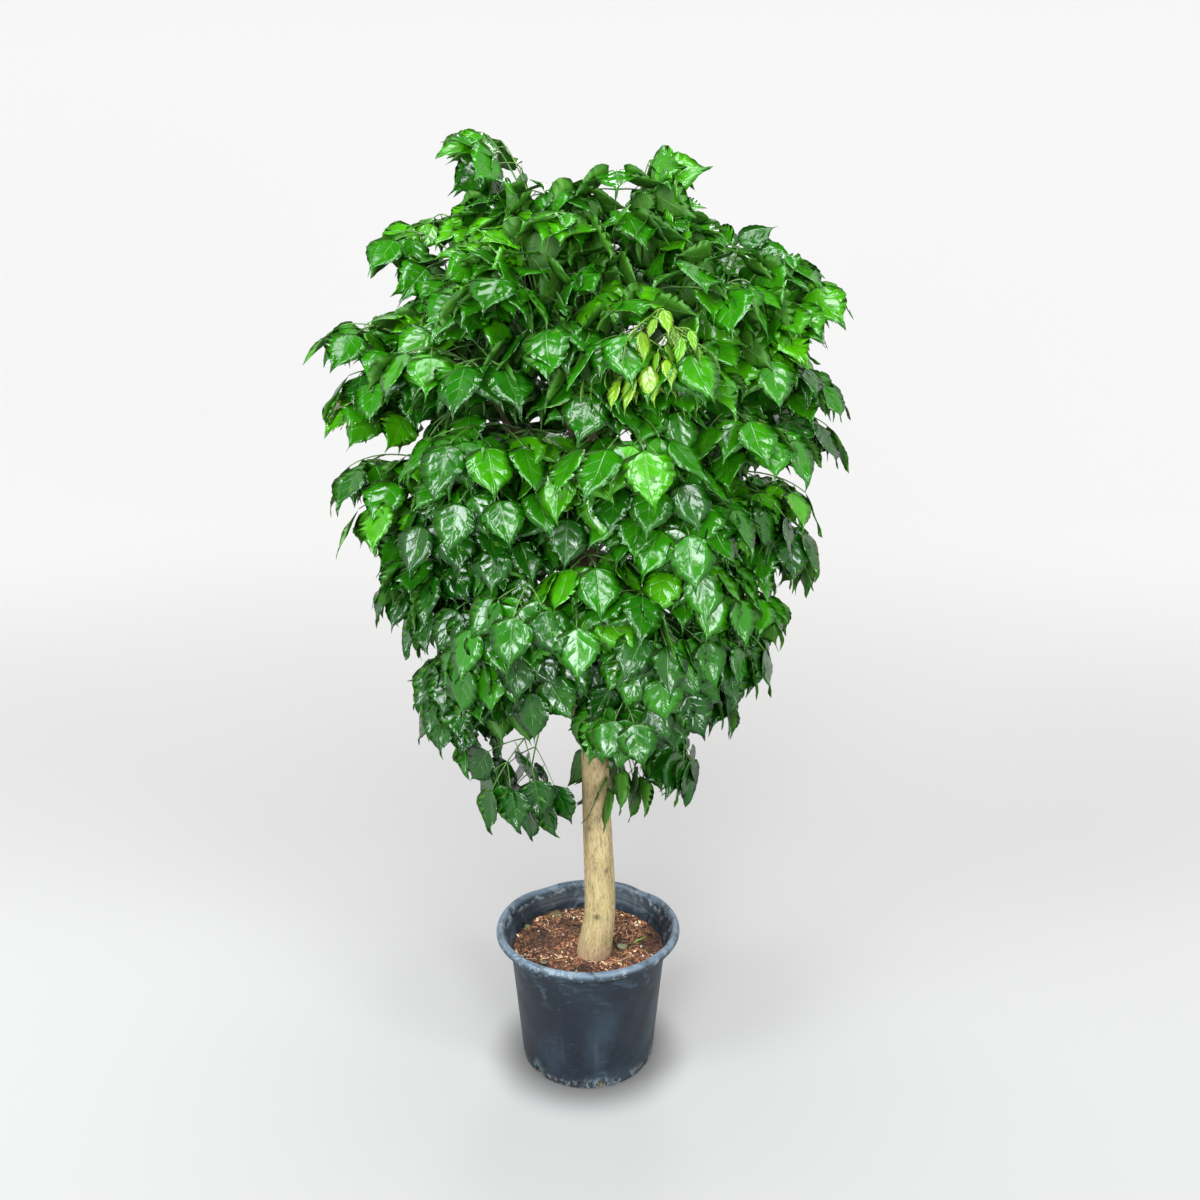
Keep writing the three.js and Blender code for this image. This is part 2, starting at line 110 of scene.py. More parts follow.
def feed(tree, made, inputs):
    """Gives a shader node its inputs. Each is a plain value or the socket that feeds it."""
    for key, value in inputs.items():
        if isinstance(value, bpy.types.NodeSocket):
            tree.links.new(value, made.inputs[key])
        elif made.inputs[key].type == "RGBA":
            made.inputs[key].default_value = (*value, 1)
        else:
            made.inputs[key].default_value = value


def node(tree, kind, inputs=None, **settings):
    made = tree.nodes.new(kind)
    for name, value in settings.items():
        setattr(made, name, value)
    feed(tree, made, inputs or {})
    return made


def math_of(tree, operation, a, b=0.0):
    return node(tree, "ShaderNodeMath", {0: a, 1: b}, operation=operation).outputs[0]


def times(tree, a, b):
    return math_of(tree, "MULTIPLY", a, b)


def part_of(tree, vector, axis):
    return node(tree, "ShaderNodeSeparateXYZ", {"Vector": vector}).outputs[axis]


def between(tree, value, low, high, start=0.0, stop=1.0, blend="SMOOTHSTEP"):
    """start below low, stop above high, and smooth between them."""
    sockets = {"Value": value, "From Min": low, "From Max": high, "To Min": start, "To Max": stop}
    return node(tree, "ShaderNodeMapRange", sockets, interpolation_type=blend).outputs["Result"]


def surface(name, viewed_as):
    """A new material, its tree, its shader, and the place on the object as a vector socket."""
    material = bpy.data.materials.new(name)
    material.use_nodes = True
    material.diffuse_color = (*viewed_as, 1)
    tree = material.node_tree
    place = node(tree, "ShaderNodeTexCoord").outputs["Object"]
    return material, tree, tree.nodes["Principled BSDF"], place


def paper():
    """Pale paper that glows a little, least on the floor and on the side where the onlooker stands."""
    material, tree, shader, place = surface("studio_paper", PAPER_WHITE)
    reach = node(tree, "ShaderNodeVectorMath", {0: place}, operation="LENGTH").outputs["Value"]
    behind = part_of(tree, place, "Y")
    glow = between(tree, reach, 0.2, 5.5, 0.14, 0.665)
    glow = times(tree, glow, between(tree, behind, -7.0, 0.6, 0.16, 1.0))
    # painted shadow: the paper's colour is darker close round the pot's foot, where the pot keeps the light
    # off it
    shade = between(tree, reach, 0.105, 0.205, 0.10, 1.0)
    # and painted shade: the paper's colour is a little darker in front of the pot, where the soft boxes are
    # nearest
    shade = times(tree, shade, between(tree, behind, -0.45, 0.4, 0.89, 1.07, "LINEAR"))
    paper_with_painted_shade = node(tree, "ShaderNodeVectorMath", {0: PAPER_WHITE, "Scale": shade}, operation="SCALE")
    feed(tree, shader, {
        "Base Color": paper_with_painted_shade.outputs["Vector"], "Roughness": 0.95,
        "Emission Color": (1, 1, 1), "Emission Strength": glow,
    })
    material.cycles.emission_sampling = "NONE"
    return material


sweep = [(0.001, 0.0), (1.0, 0.0), (2.5, 0.0), (SWEEP_FLAT, 0.0)]
for step in range(1, SWEEP_STEPS + 1):
    turn = step / SWEEP_STEPS * math.pi / 2
    sweep.append((SWEEP_FLAT + SWEEP_ROUND * math.sin(turn), SWEEP_ROUND * (1 - math.cos(turn))))
sweep.append((SWEEP_FLAT + SWEEP_ROUND, SWEEP_TOP))
studio_floor = mesh_piece("studio_sweep", *turned(sweep, SWEEP_SIDES), [paper()])
smooth_all(studio_floor)

world = bpy.data.worlds.new("studio_air")
world.use_nodes = True
air = {"Color": AIR_COLOUR, "Strength": AIR_STRENGTH}
feed(world.node_tree, world.node_tree.nodes["Background"], air)
bpy.context.scene.world = world


def soft_box(name, place, aim, size, power, colour=(1, 1, 1)):
    light = bpy.data.lights.new(name, "AREA")
    light.shape = "RECTANGLE"
    light.size, light.size_y = size
    light.energy = power
    light.color = colour
    lamp = bpy.data.objects.new(name, light)
    lamp.location = place
    lamp.rotation_euler = (Vector(aim) - Vector(place)).to_track_quat("-Z", "Y").to_euler()
    bpy.context.scene.collection.objects.link(lamp)


soft_box("skylight", (0.1, -2.3, 3.7), (0, 0, 1.0), (2.6, 1.2), 160, SKY_WHITE)
soft_box("overhead", (0.0, 0.1, 4.0), (0, 0, 1.0), (1.4, 1.4), 52, ROOF_WHITE)
soft_box("front_window", (-1.1, -4.1, 2.0), (0, 0, 0.9), (1.3, 1.8), 190, WINDOW_WHITE)
soft_box("low_window", (1.6, -3.8, 1.4), (0, 0, 0.8), (0.8, 1.4), 88, WINDOW_WHITE)
soft_box("window_left", (-2.7, -1.7, 2.2), (0, 0, 1.0), (1.3, 2.0), 150, WINDOW_WHITE)
soft_box("window_right", (2.6, -2.0, 2.2), (0, 0, 0.9), (0.9, 1.8), 100, SIDE_WHITE)
soft_box("back", (0.4, 3.4, 3.2), (0, 0, 1.2), (1.2, 1.2), 62)

# ------------------------------------------------------------------ the pot
# A round nursery pot of recycled blue-black plastic, with a thin tapering wall, a rolled rim and arched
# drain holes through the foot of the wall. It is bought ready moulded. Years of use have left it hazy,
# dented and chipped at the rim, and scuffed at the foot.
POT_SIDES = 192
# (radius, height) in metres, from the middle of the underside, up the outside, and down the inside
POT_OUTLINE = [
    (0.0005, 0.0), (0.060, 0.0), (0.105, 0.0), (0.1125, 0.0008), (0.1172, 0.0034), (0.1194, 0.0085),
    (0.1205, 0.016), (0.1245, 0.060), (0.1298, 0.118), (0.1350, 0.175), (0.1397, 0.222),
    (0.1415, 0.233), (0.1445, 0.2405), (0.1490, 0.2452), (0.1540, 0.2462), (0.1590, 0.2452),
    (0.1628, 0.2468), (0.1648, 0.2505), (0.1650, 0.2545), (0.1636, 0.2585), (0.1608, 0.2611),
    (0.1575, 0.2618), (0.1545, 0.2606), (0.1522, 0.2578), (0.1502, 0.2530), (0.1470, 0.2450),
    (0.1425, 0.2360), (0.1380, 0.2250), (0.1325, 0.175), (0.1270, 0.118), (0.1215, 0.060),
    (0.1170, 0.016), (0.1140, 0.0075), (0.1080, 0.0042), (0.060, 0.004), (0.0005, 0.004),
]
OUTLINE_STEPS = 3  # rings for each point of the outline
TOP_OF_WALL, POT_RIM = 10, 14  # where these start in the outline
WALL_FIRM_BELOW, WALL_FREE_ABOVE = 0.12, 0.26  # the foot holds its shape, and the rim gives
DRAIN_HOLES = 6
DRAIN_WIDTH, DRAIN_HEIGHT = 0.021, 0.019
DRAIN_FIRST = -78.0  # bearing of the first hole, in degrees
DRAIN_ARCH = [22, 45, 68, 90, 112, 135, 158]  # degrees round the top of the arch
DRAIN_PLUG = (0.1065, 0.135)  # from where to where the plug that cuts a drain hole reaches
FOOT_RADIUS = 0.1195
# (height, radius) half way through the wall
WALL_MIDDLE = [(0.0, 0.10), (0.016, 0.1188), (0.222, 0.1383), (0.245, 0.148), (0.262, 0.1555)]
RIM_DENTS = [  # (bearing, half width in degrees, push inwards, lift)
    (123, 12, 0.0030, -0.0022), (50, 9, 0.0026, -0.0026), (-150, 20, 0.0010, 0.0004),
]
RIM_BURR = (-94, 1.6, 0.0030)  # bearing, half width in degrees and hang of a torn scrap of plastic
BURR_RINGS = 4
BLUE_BLACK = (0.0017, 0.0046, 0.0095)
HAZY_PLASTIC = (0.0108, 0.0225, 0.0345)
RAIN_STREAK = (0.034, 0.040, 0.048)
BLOOM = (0.036, 0.058, 0.080)
# the rim top's pale colour: partly rubbed wear, partly a painted highlight
RUBBED_RIM_AND_SHEEN = (0.090, 0.128, 0.168)
LIMESCALE = (0.105, 0.135, 0.155)
WORN_PLASTIC = (0.210, 0.245, 0.262)
HOLE_LIP = (0.130, 0.195, 0.225)
EARTH_DUST = (0.034, 0.031, 0.028)
FINE_SCRATCH = (0.110, 0.120, 0.130)


def end_faces(rings, sides):
    """The two faces that close the first and the last ring."""
    last = (rings - 1) * sides
    return [tuple(range(sides))[::-1], tuple(range(last, last + sides))]


def through(points, per_gap):
    """A smooth line through points, as an array, with so many steps between each two."""
    p = np.array(points, float)
    p = np.vstack([2 * p[0] - p[1], p, 2 * p[-1] - p[-2]])
    line = []
    for i in range(1, len(p) - 2):
        for t in np.arange(per_gap) / per_gap:
            line.append(
                0.5 * (
                    2 * p[i] + (p[i + 1] - p[i - 1]) * t
                    + (2 * p[i - 1] - 5 * p[i] + 4 * p[i + 1] - p[i + 2]) * t ** 2
                    + (3 * p[i] - p[i - 1] - 3 * p[i + 1] + p[i + 2]) * t ** 3
                )
            )
    line.append(p[-2])
    return np.array(line)


def angle_apart(a, b):
    return (a - b + 180) % 360 - 180


def noise_of(tree, vector, scale, detail=4.0, roughness=0.55, distortion=0.0):
    sockets = {
        "Vector": vector, "Scale": scale, "Detail": detail,
        "Roughness": roughness, "Distortion": distortion,
    }
    return node(tree, "ShaderNodeTexNoise", sockets).outputs["Fac"]


def stretched(tree, vector, scale):
    return node(tree, "ShaderNodeMapping", {"Vector": vector, "Scale": scale}).outputs[0]


def blended(tree, amount, first, second):
    """The first colour below an amount of 0, the second above 1, and a mix of both between."""
    return node(tree, "ShaderNodeMix", {0: amount, 6: first, 7: second}, data_type="RGBA").outputs[2]


def bumped(tree, height, strength, distance, under=None):
    sockets = {"Height": height, "Strength": strength, "Distance": distance}
    if under is not None:
        sockets["Normal"] = under
    return node(tree, "ShaderNodeBump", sockets).outputs["Normal"]


def marked(tree, name, output="Fac"):
    """What each point of a mesh carries under this name, as a socket."""
    return node(tree, "ShaderNodeAttribute", attribute_name=name).outputs[output]


def mark_points(piece, name, values):
    marks = piece.data.attributes.new(name, "FLOAT", "POINT")
    marks.data.foreach_set("value", np.array(values, np.float32))


def pot_plastic():
    material, tree, shader, place = surface("pot_plastic", (0.05, 0.06, 0.08))
    height = part_of(tree, place, "Z")
    haze = between(tree, noise_of(tree, place, 7.0, 5.0, 0.6, 0.6), 0.42, 0.72)
    colour = blended(tree, haze, BLUE_BLACK, HAZY_PLASTIC)
    upright = noise_of(tree, stretched(tree, place, (60, 60, 3.0)), 1.0, 3.0)
    streak = times(tree, between(tree, upright, 0.55, 0.8), 0.35)
    colour = blended(tree, streak, colour, RAIN_STREAK)
    bloom = times(tree, between(tree, height, 0.14, 0.215), between(tree, height, 0.242, 0.225))
    cloud = noise_of(tree, stretched(tree, place, (1, 1, 2.2)), 19.0, 5.0, 0.65, 0.8)
    bloom = times(tree, times(tree, bloom, between(tree, cloud, 0.50, 0.72)), 0.8)
    colour = blended(tree, bloom, colour, BLOOM)
    # the top of the rim is rubbed paler and also carries a painted highlight, and dusty limescale lies on
    # the inside of the wall
    rim = times(tree, between(tree, height, 0.2500, 0.2600), 0.8)
    rub_and_sheen = between(tree, noise_of(tree, place, 38.0, 5.0, 0.65), 0.26, 0.58)
    colour = blended(tree, times(tree, rim, rub_and_sheen), colour, RUBBED_RIM_AND_SHEEN)
    lime = between(tree, noise_of(tree, place, 26.0, 8.0, 0.68, 1.2), 0.5, 0.72)
    lime = times(tree, lime, times(tree, marked(tree, "inside"), 0.62))
    colour = blended(tree, lime, colour, LIMESCALE)
    # chipped and scuffed patches along the rim's edge and round the foot
    chip = noise_of(tree, place, 55.0, 6.0, 0.7, 0.8)
    at_rim = between(tree, height, 0.240, 0.2475)
    at_foot = between(tree, height, 0.030, 0.004)
    edge = math_of(tree, "MAXIMUM", times(tree, at_rim, 0.58), at_foot)
    worn = times(tree, between(tree, chip, 0.50, 0.62), edge)
    colour = blended(tree, times(tree, worn, 0.85), colour, WORN_PLASTIC)
    lip = times(tree, marked(tree, "hole_lip"), between(tree, chip, 0.36, 0.52))
    colour = blended(tree, times(tree, lip, 0.8), colour, HOLE_LIP)
    # earth dust low down, and a few fine pale scratches
    earth = times(tree, between(tree, height, 0.040, 0.0), 0.35)
    colour = blended(tree, earth, colour, EARTH_DUST)
    scratch = noise_of(tree, stretched(tree, place, (14, 14, 210)), 1.0, 2.0, 0.5, 2.5)
    scratch = times(tree, between(tree, scratch, 0.70, 0.74), 0.5)
    colour = blended(tree, scratch, colour, FINE_SCRATCH)
    rough = between(tree, noise_of(tree, place, 18.0, 5.0, 0.6), 0.0, 1.0, 0.36, 0.62, "LINEAR")
    soft = bumped(tree, noise_of(tree, place, 24.0, 3.0), 0.35, 0.0012)
    feed(tree, shader, {
        "Base Color": colour,
        "Specular IOR Level": 0.36,
        "Roughness": math_of(tree, "ADD", rough, times(tree, worn, 0.2)),
        "Normal": bumped(tree, noise_of(tree, place, 420.0, 3.0), 0.12, 0.0003, soft),
    })
    return material


def clamp(value, low=0, high=1):
    return min(max(value, low), high)


def pot_point(outline_place, radius, height, degrees):
    """Where a point of the turned outline is on the dented and slightly oval pot."""
    turn = math.radians(degrees)
    lift = 0.0
    upper = clamp((height - WALL_FIRM_BELOW) / (WALL_FREE_ABOVE - WALL_FIRM_BELOW))
    swell = 0.0011 * math.sin(2 * turn + 0.7) + 0.0005 * math.sin(5 * turn + 2.0)
    radius += swell * upper * (1 if radius > 0.1 else 0)
    if outline_place >= TOP_OF_WALL * OUTLINE_STEPS:
        for middle, wide, push, drop in RIM_DENTS:
            share = math.exp(-((angle_apart(degrees, middle) / wide) ** 2)) * upper
            radius -= push * share
            lift += drop * share
    if POT_RIM * OUTLINE_STEPS <= outline_place <= (POT_RIM + BURR_RINGS) * OUTLINE_STEPS:
        middle, wide, hang = RIM_BURR
        lift -= hang * max(0.0, 1 - abs(angle_apart(degrees, middle)) / wide)
    return radius * math.cos(turn), radius * math.sin(turn), max(height + lift, 0.0)


# the smooth line is kept off the floor and off the axis
outline = through(POT_OUTLINE, OUTLINE_STEPS)
outline[:, 1] = np.maximum(outline[:, 1], 0)
outline[:, 0] = np.maximum(outline[:, 0], 0.0004)
pot_points = [
    pot_point(i, radius, height, k / POT_SIDES * 360)
    for i, (radius, height) in enumerate(outline)
    for k in range(POT_SIDES)
]
pot_faces = ring_faces(len(outline), POT_SIDES) + end_faces(len(outline), POT_SIDES)
pot = mesh_piece("pot_moulding", pot_points, pot_faces, [pot_plastic()])


def drain_cutter(degrees):
    """An arched plug, pointing out of the pot, as wide and high as a drain hole."""
    arch = [(-0.5, -0.3), (0.5, -0.3), (0.5, 0.45)]
    arch += [(0.5 * math.cos(a), 0.45 + 0.55 * math.sin(a)) for a in np.radians(DRAIN_ARCH)]
    arch.append((-0.5, 0.45))
    turn = Matrix.Rotation(math.radians(degrees), 3, "Z")
    points = [
        turn @ Vector((reach, across * DRAIN_WIDTH, up * DRAIN_HEIGHT))
        for reach in DRAIN_PLUG
        for across, up in arch
    ]
    return points, end_faces(2, len(arch)) + ring_faces(2, len(arch))


cut_points, cut_faces = [], []
for hole in range(DRAIN_HOLES):
    points, faces = drain_cutter(DRAIN_FIRST + hole * 360 / DRAIN_HOLES)
    cut_faces += [tuple(len(cut_points) + v for v in face) for face in faces]
    cut_points += points
cutter = mesh_piece("drain_cutter", cut_points, cut_faces, [])
cut = pot.modifiers.new("drain_holes", "BOOLEAN")
cut.operation = "DIFFERENCE"
cut.solver = "EXACT"
cut.object = cutter
bpy.context.view_layer.objects.active = pot
bpy.ops.object.modifier_apply(modifier="drain_holes")
bpy.data.objects.remove(cutter)
smooth_all(pot)
pot_places = np.empty(len(pot.data.vertices) * 3)
pot.data.vertices.foreach_get("co", pot_places)
pot_places = pot_places.reshape(-1, 3)
pot_reach = np.hypot(pot_places[:, 0], pot_places[:, 1])
mark_points(pot, "inside", pot_reach < np.interp(pot_places[:, 2], *zip(*WALL_MIDDLE)))
# how near each point is to the edge of a drain hole
from_hole = np.degrees(np.arctan2(pot_places[:, 1], pot_places[:, 0])) - DRAIN_FIRST
hole_gap = 360 / DRAIN_HOLES
from_hole = (from_hole + hole_gap / 2) % hole_gap - hole_gap / 2
across = np.radians(from_hole) * FOOT_RADIUS / (DRAIN_WIDTH / 2)
ring_round = np.hypot(across, pot_places[:, 2] / DRAIN_HEIGHT)
mark_points(pot, "hole_lip", np.exp(-(((ring_round - 1.05) / 0.40) ** 2)))
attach(pot, "root")
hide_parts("pot")

# ------------------------------------------------------------------ the potting mix
# Red-brown coir and bark chips with straw-coloured fibres and a few white perlite grains. It is poured
# in loose and has settled to 46 mm below the rim, heaped a little round the trunk.
MIX_TOP = 0.216
MIX_MOUND, MOUND_REACH = 0.007, 0.125
MIX_WALL = [(0.0043, 0.108), (0.016, 0.1162), (MIX_TOP, 0.1362)]  # (height, radius) inside the pot
FOOT_OF_TRUNK = (0.011, -0.029)
CLEAR_OF_TRUNK = 0.034
MIX_REACH, FIBRE_REACH = 0.1325, 0.128
MIX_RINGS, MIX_SIDES = 44, 132
HOLLOW_SPOT = (0.058, 0.012, 0.21)  # the middle of the hollow beside the trunk, where the mix is painted darker as shade
HOLLOW_DEPTH, HOLLOW_REACH, HOLLOW_SHADE_REACH = 0.010, 0.026, 0.030
DARK_COIR = (0.015, 0.0056, 0.0030)
RED_COIR = (0.135, 0.052, 0.026)
DAMP_COIR = (0.020, 0.0085, 0.0048)
# the colour of the painted shade in the hollow beside the trunk
HOLLOW_SHADE_COIR = (0.013, 0.006, 0.004)
CHIPS, FIBRES, PERLITE = 1900, 420, 30
BITS_IN_HOLE = 26
HOLE_BOX = [(0.109, 0.1165), (-0.0085, 0.0085), (0.003, 0.0165)]  # out, across and up
FIBRE_STEPS, FIBRE_EDGE = 8, 0.132
ANY_TURN = 6.28
PERLITE_OUTLINE = [(0.02, -1), (0.72, -0.66), (1, 0.05), (0.66, 0.72), (0.02, 1)]
CHIP_COLOURS = [(0.018, 0.0062, 0.003), (0.400, 0.160, 0.078), (0.74, 0.56, 0.32)]  # dark, pale and straw
HOLE_COLOURS = [(0.024, 0.018, 0.012), (0.150, 0.118, 0.085), (0.24, 0.20, 0.14)]
FIBRE_COLOURS = [(0.085, 0.034, 0.014), (0.330, 0.170, 0.066), (0.76, 0.62, 0.38)]
PERLITE_COLOURS = [(0.32, 0.29, 0.245), (0.47, 0.455, 0.425), (0.44, 0.39, 0.25)]


def mix_height(x, y):
    """The height of the heaped surface, with its lumps and the hollow beside the trunk."""
    radius = math.hypot(x, y)
    height = MIX_TOP + MIX_MOUND * max(0.0, 1 - (radius / MOUND_REACH) ** 2)
    height += 0.0032 * mathutils.noise.noise(Vector((x * 34, y * 34, 1.7)))
    height += 0.0018 * mathutils.noise.noise(Vector((x * 95, y * 95, 6.1)))
    away = math.hypot(x - HOLLOW_SPOT[0], y - HOLLOW_SPOT[1])
    height -= HOLLOW_DEPTH * math.exp(-((away / HOLLOW_REACH) ** 2))
    return height


def dryness_and_hollow_shade(place):
    """1 on dry mix, and less in a few dark patches and in the hollow beside the trunk, where the lower
    value is painted shade.
    """
    patch = mathutils.noise.noise(Vector((place.x * 24, place.y * 24, 3.3)))
    away = math.hypot(place.x - HOLLOW_SPOT[0], place.y - HOLLOW_SPOT[1])
    return clamp(0.80 + 1.5 * patch - 0.7 * math.exp(-((away / HOLLOW_SHADE_REACH) ** 2)), 0.14)


def mix_material():
    material, tree, shader, place = surface("potting_mix", (0.2, 0.1, 0.05))
    lumps = noise_of(tree, place, 90.0, 8.0, 0.7)
    colour = blended(tree, between(tree, lumps, 0.35, 0.65), DARK_COIR, RED_COIR)
    damp = noise_of(tree, place, 16.0, 3.0)
    colour = blended(tree, between(tree, damp, 0.5, 0.75), colour, DAMP_COIR)
    # painted shade: the mix is darker in the hollow beside the trunk
    beside = node(tree, "ShaderNodeVectorMath", {0: place, 1: HOLLOW_SPOT}, operation="DISTANCE")
    hollow_shade = times(tree, between(tree, beside.outputs["Value"], 0.046, 0.014), 0.85)
    colour = blended(tree, hollow_shade, colour, HOLLOW_SHADE_COIR)
    crumbs = bumped(tree, noise_of(tree, place, 300.0, 6.0, 0.7), 0.8, 0.002)
    feed(tree, shader, {"Base Color": colour, "Roughness": 0.95, "Normal": crumbs})
    return material


def chip_material(name, dark, pale, straw):
    """Chips, fibres or grains: each one has a shade of its own, from dark through pale to straw."""
    material, tree, shader, place = surface(name, pale)
    shade = marked(tree, "shade")
    colour = blended(tree, between(tree, shade, 0.0, 0.7), dark, pale)
    colour = blended(tree, between(tree, shade, 0.76, 0.86), colour, straw)
    mottle = between(tree, noise_of(tree, place, 600.0, 4.0), 0.4, 0.7)
    colour = blended(tree, times(tree, mottle, 0.35), colour, dark)
    feed(tree, shader, {"Base Color": colour, "Roughness": 0.85})
    return material


class Gathered:
    """Many closed shapes gathered into one mesh. Each has one shade, or one for each of its points."""

    def __init__(self):
        self.points, self.faces, self.shades = [], [], []

    def add(self, points, faces, shade):
        start = len(self.points)
        self.points += [tuple(p) for p in points]
        self.faces += [tuple(start + v for v in face) for face in faces]
        self.shades += shade if isinstance(shade, list) else [shade] * len(points)

    def piece(self, name, material):
        made = mesh_piece(name, self.points, self.faces, [material])
        mark_points(made, "shade", self.shades)
        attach(made, "root")


def strand(points, width, sides):
    """A thin closed rod along points, pinched at both ends: its points and its faces."""
    skin = []
    side_way = Vector((0.3, 0.2, 1.0))
    for i, at in enumerate(points):
        ahead = (points[min(i + 1, len(points) - 1)] - points[max(i - 1, 0)]).normalized()
        across = ahead.cross(side_way).normalized()
        third = ahead.cross(across)
        half = width * (0.35 if i in (0, len(points) - 1) else 1)
        for k in range(sides):
            x, y = on_circle(k, sides)
            skin.append(at + across * (half * x) + third * (half * y))
    return skin, ring_faces(len(points), sides) + end_faces(len(points), sides)


def flake(rng, length, width, thick):
    """A chip of bark: an uneven five- to seven-sided slab, bent a little."""
    corners = rng.randint(5, 7)
    bend = rng.uniform(-0.25, 0.25)
    loop = []
    for k in range(corners):
        turn = (k + rng.uniform(-0.25, 0.25)) / corners * 2 * math.pi
        loop.append((0.5 * length * math.cos(turn) * rng.uniform(0.8, 1.1),
                     0.5 * width * math.sin(turn) * rng.uniform(0.75, 1.15)))
    points = [
        Vector((x, y, level * thick + bend * x * x / length))
        for level in (-0.5, 0.5)
        for x, y in loop
    ]
    return points, end_faces(2, corners) + ring_faces(2, corners)


def tumbled(rng, second_axis):
    """A random turn on X after one on the second axis."""
    first = Matrix.Rotation(rng.uniform(0, ANY_TURN), 3, "X")
    return first @ Matrix.Rotation(rng.uniform(0, ANY_TURN), 3, second_axis)


def spot_on_mix(rng, reach=MIX_REACH):
    """A random place on the heaped surface, away from the trunk."""
    while True:
        radius = reach * math.sqrt(rng.random())
        turn = rng.uniform(0, 2 * math.pi)
        x, y = radius * math.cos(turn), radius * math.sin(turn)
        if math.hypot(x - FOOT_OF_TRUNK[0], y - FOOT_OF_TRUNK[1]) > CLEAR_OF_TRUNK:
            return Vector((x, y, mix_height(x, y)))


mix_points = []
mix_circle = [on_circle(k, MIX_SIDES) for k in range(MIX_SIDES)]
for ring in range(MIX_RINGS + 1):
    radius = MIX_WALL[-1][1] * max(ring / MIX_RINGS, 0.002)
    for x, y in mix_circle:
        mix_points.append((radius * x, radius * y, mix_height(radius * x, radius * y)))
for height, radius in MIX_WALL[::-1][1:]:
    mix_points += [(radius * x, radius * y, height) for x, y in mix_circle]
# its rings run from the top down, so its faces are turned over
mix_rings = MIX_RINGS + len(MIX_WALL)
mix_faces = [(a, d, c, b) for a, b, c, d in ring_faces(mix_rings, MIX_SIDES)]
mix_faces += [face[::-1] for face in end_faces(mix_rings, MIX_SIDES)]
mix = mesh_piece("mix_heap", mix_points, mix_faces, [mix_material()])
smooth_all(mix)
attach(mix, "root")
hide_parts("potting_mix")

rng = random.Random(31)
chips = Gathered()
hole_earth = Gathered()
for _ in range(CHIPS):
    length = rng.uniform(0.003, 0.0105) * rng.uniform(0.7, 1.0)
    points, faces = flake(rng, length, length * rng.uniform(0.25, 0.7), rng.uniform(0.0006, 0.0017))
    place = spot_on_mix(rng)
    turn = Matrix.Rotation(rng.uniform(0, 2 * math.pi), 3, "Z")
    tip = Matrix.Rotation(rng.gauss(0, 0.45), 3, "X") @ Matrix.Rotation(rng.gauss(0, 0.35), 3, "Y")
    lift = Vector((0, 0, rng.uniform(-0.0005, 0.0016)))
    # chips are darker in the dark patches, and painted darker as shade in the hollow beside the trunk
    chips.add([place + lift + turn @ (tip @ p) for p in points], faces, rng.random() * dryness_and_hollow_shade(place))
for hole in range(DRAIN_HOLES):
    # earth and root ends that fill each drain hole
    turn = Matrix.Rotation(math.radians(DRAIN_FIRST + hole * 360 / DRAIN_HOLES), 3, "Z")
    for _ in range(BITS_IN_HOLE):
        size = rng.uniform(0.003, 0.007)
        points, faces = flake(rng, size, size * 0.7, size * 0.45)
        spin = tumbled(rng, "Y")
        spot = Vector([rng.uniform(*side) for side in HOLE_BOX])
        hole_earth.add([turn @ (spot + spin @ p) for p in points], faces, rng.random() * 0.9)
chips.piece("mix_chips", chip_material("chips", *CHIP_COLOURS))
hole_earth.piece("hole_earth", chip_material("hole_earth", *HOLE_COLOURS))

fibres = Gathered()
for _ in range(FIBRES):
    place = spot_on_mix(rng, FIBRE_REACH)
    heading = rng.uniform(0, 2 * math.pi)
    curl = rng.gauss(0, 9)
    step = rng.uniform(0.0022, 0.0045)
    line = []
    for k in range(FIBRE_STEPS):
        wave = 0.0012 + 0.0011 * math.sin(k * 1.1)
        line.append(Vector((place.x, place.y, mix_height(place.x, place.y) + wave)))
        heading += curl * step * rng.uniform(2, 6)
        place = place + Vector((math.cos(heading), math.sin(heading), 0)) * step
        if math.hypot(place.x, place.y) > FIBRE_EDGE:
            heading += 2.6
            place = place + Vector((math.cos(heading), math.sin(heading), 0)) * step * 2
    points, faces = strand(line, rng.uniform(0.00030, 0.0008), 3)
    # fibres too are darker in the dark patches, and painted darker as shade in the hollow beside the trunk
    fibres.add(points, faces, rng.uniform(0.2, 1.0) * (0.35 + 0.65 * dryness_and_hollow_shade(line[0])))
fibres.piece("mix_fibres", chip_material("fibres", *FIBRE_COLOURS))

perlite = Gathered()
for _ in range(PERLITE):
    size = rng.uniform(0.0011, 0.0026)
    points, faces = turned(PERLITE_OUTLINE, 7)
    place = spot_on_mix(rng) + Vector((0, 0, 0.001))
    spin = tumbled(rng, "Z")
    lump = [place + spin @ (Vector(p) * size * rng.uniform(0.8, 1.2)) for p in points]
    perlite.add(lump, faces + end_faces(len(PERLITE_OUTLINE), 7), rng.random())
perlite.piece("mix_perlite", chip_material("perlite", *PERLITE_COLOURS))

# ------------------------------------------------------------------ the trunk and its limbs
# One bare living trunk, pale tan and finely fissured, swelling a little at its foot and forking into five
# limbs inside the crown. The side shoots were cut off as it grew, which left a few dark scars.
TRUNK_ROUTE = [(8, -30, 74), (11, -29, 215), (22, -27, 305), (18, -23, 440), (12, -16, 640)]  # mm
TRUNK_RADII = [36, 31, 27.5, 25.5, 22.5]
TRUNK_SIDES, TRUNK_STEPS = 80, 42  # steps between each two points of the route
FORK_HEIGHT = 640
LIMBS = [  # heading in degrees, reach, height of the tip and radius at the fork, in mm
    (182, 125, 1160, 13), (8, 100, 1150, 12.5), (268, 90, 1190, 11), (92, 95, 1185, 11.5),
    (150, 22, 1200, 13.5),
]
LIMB_TIP_RADIUS, LIMB_FLARE = 6, 7
LIMB_SUNK = 12  # how far into the trunk a limb starts
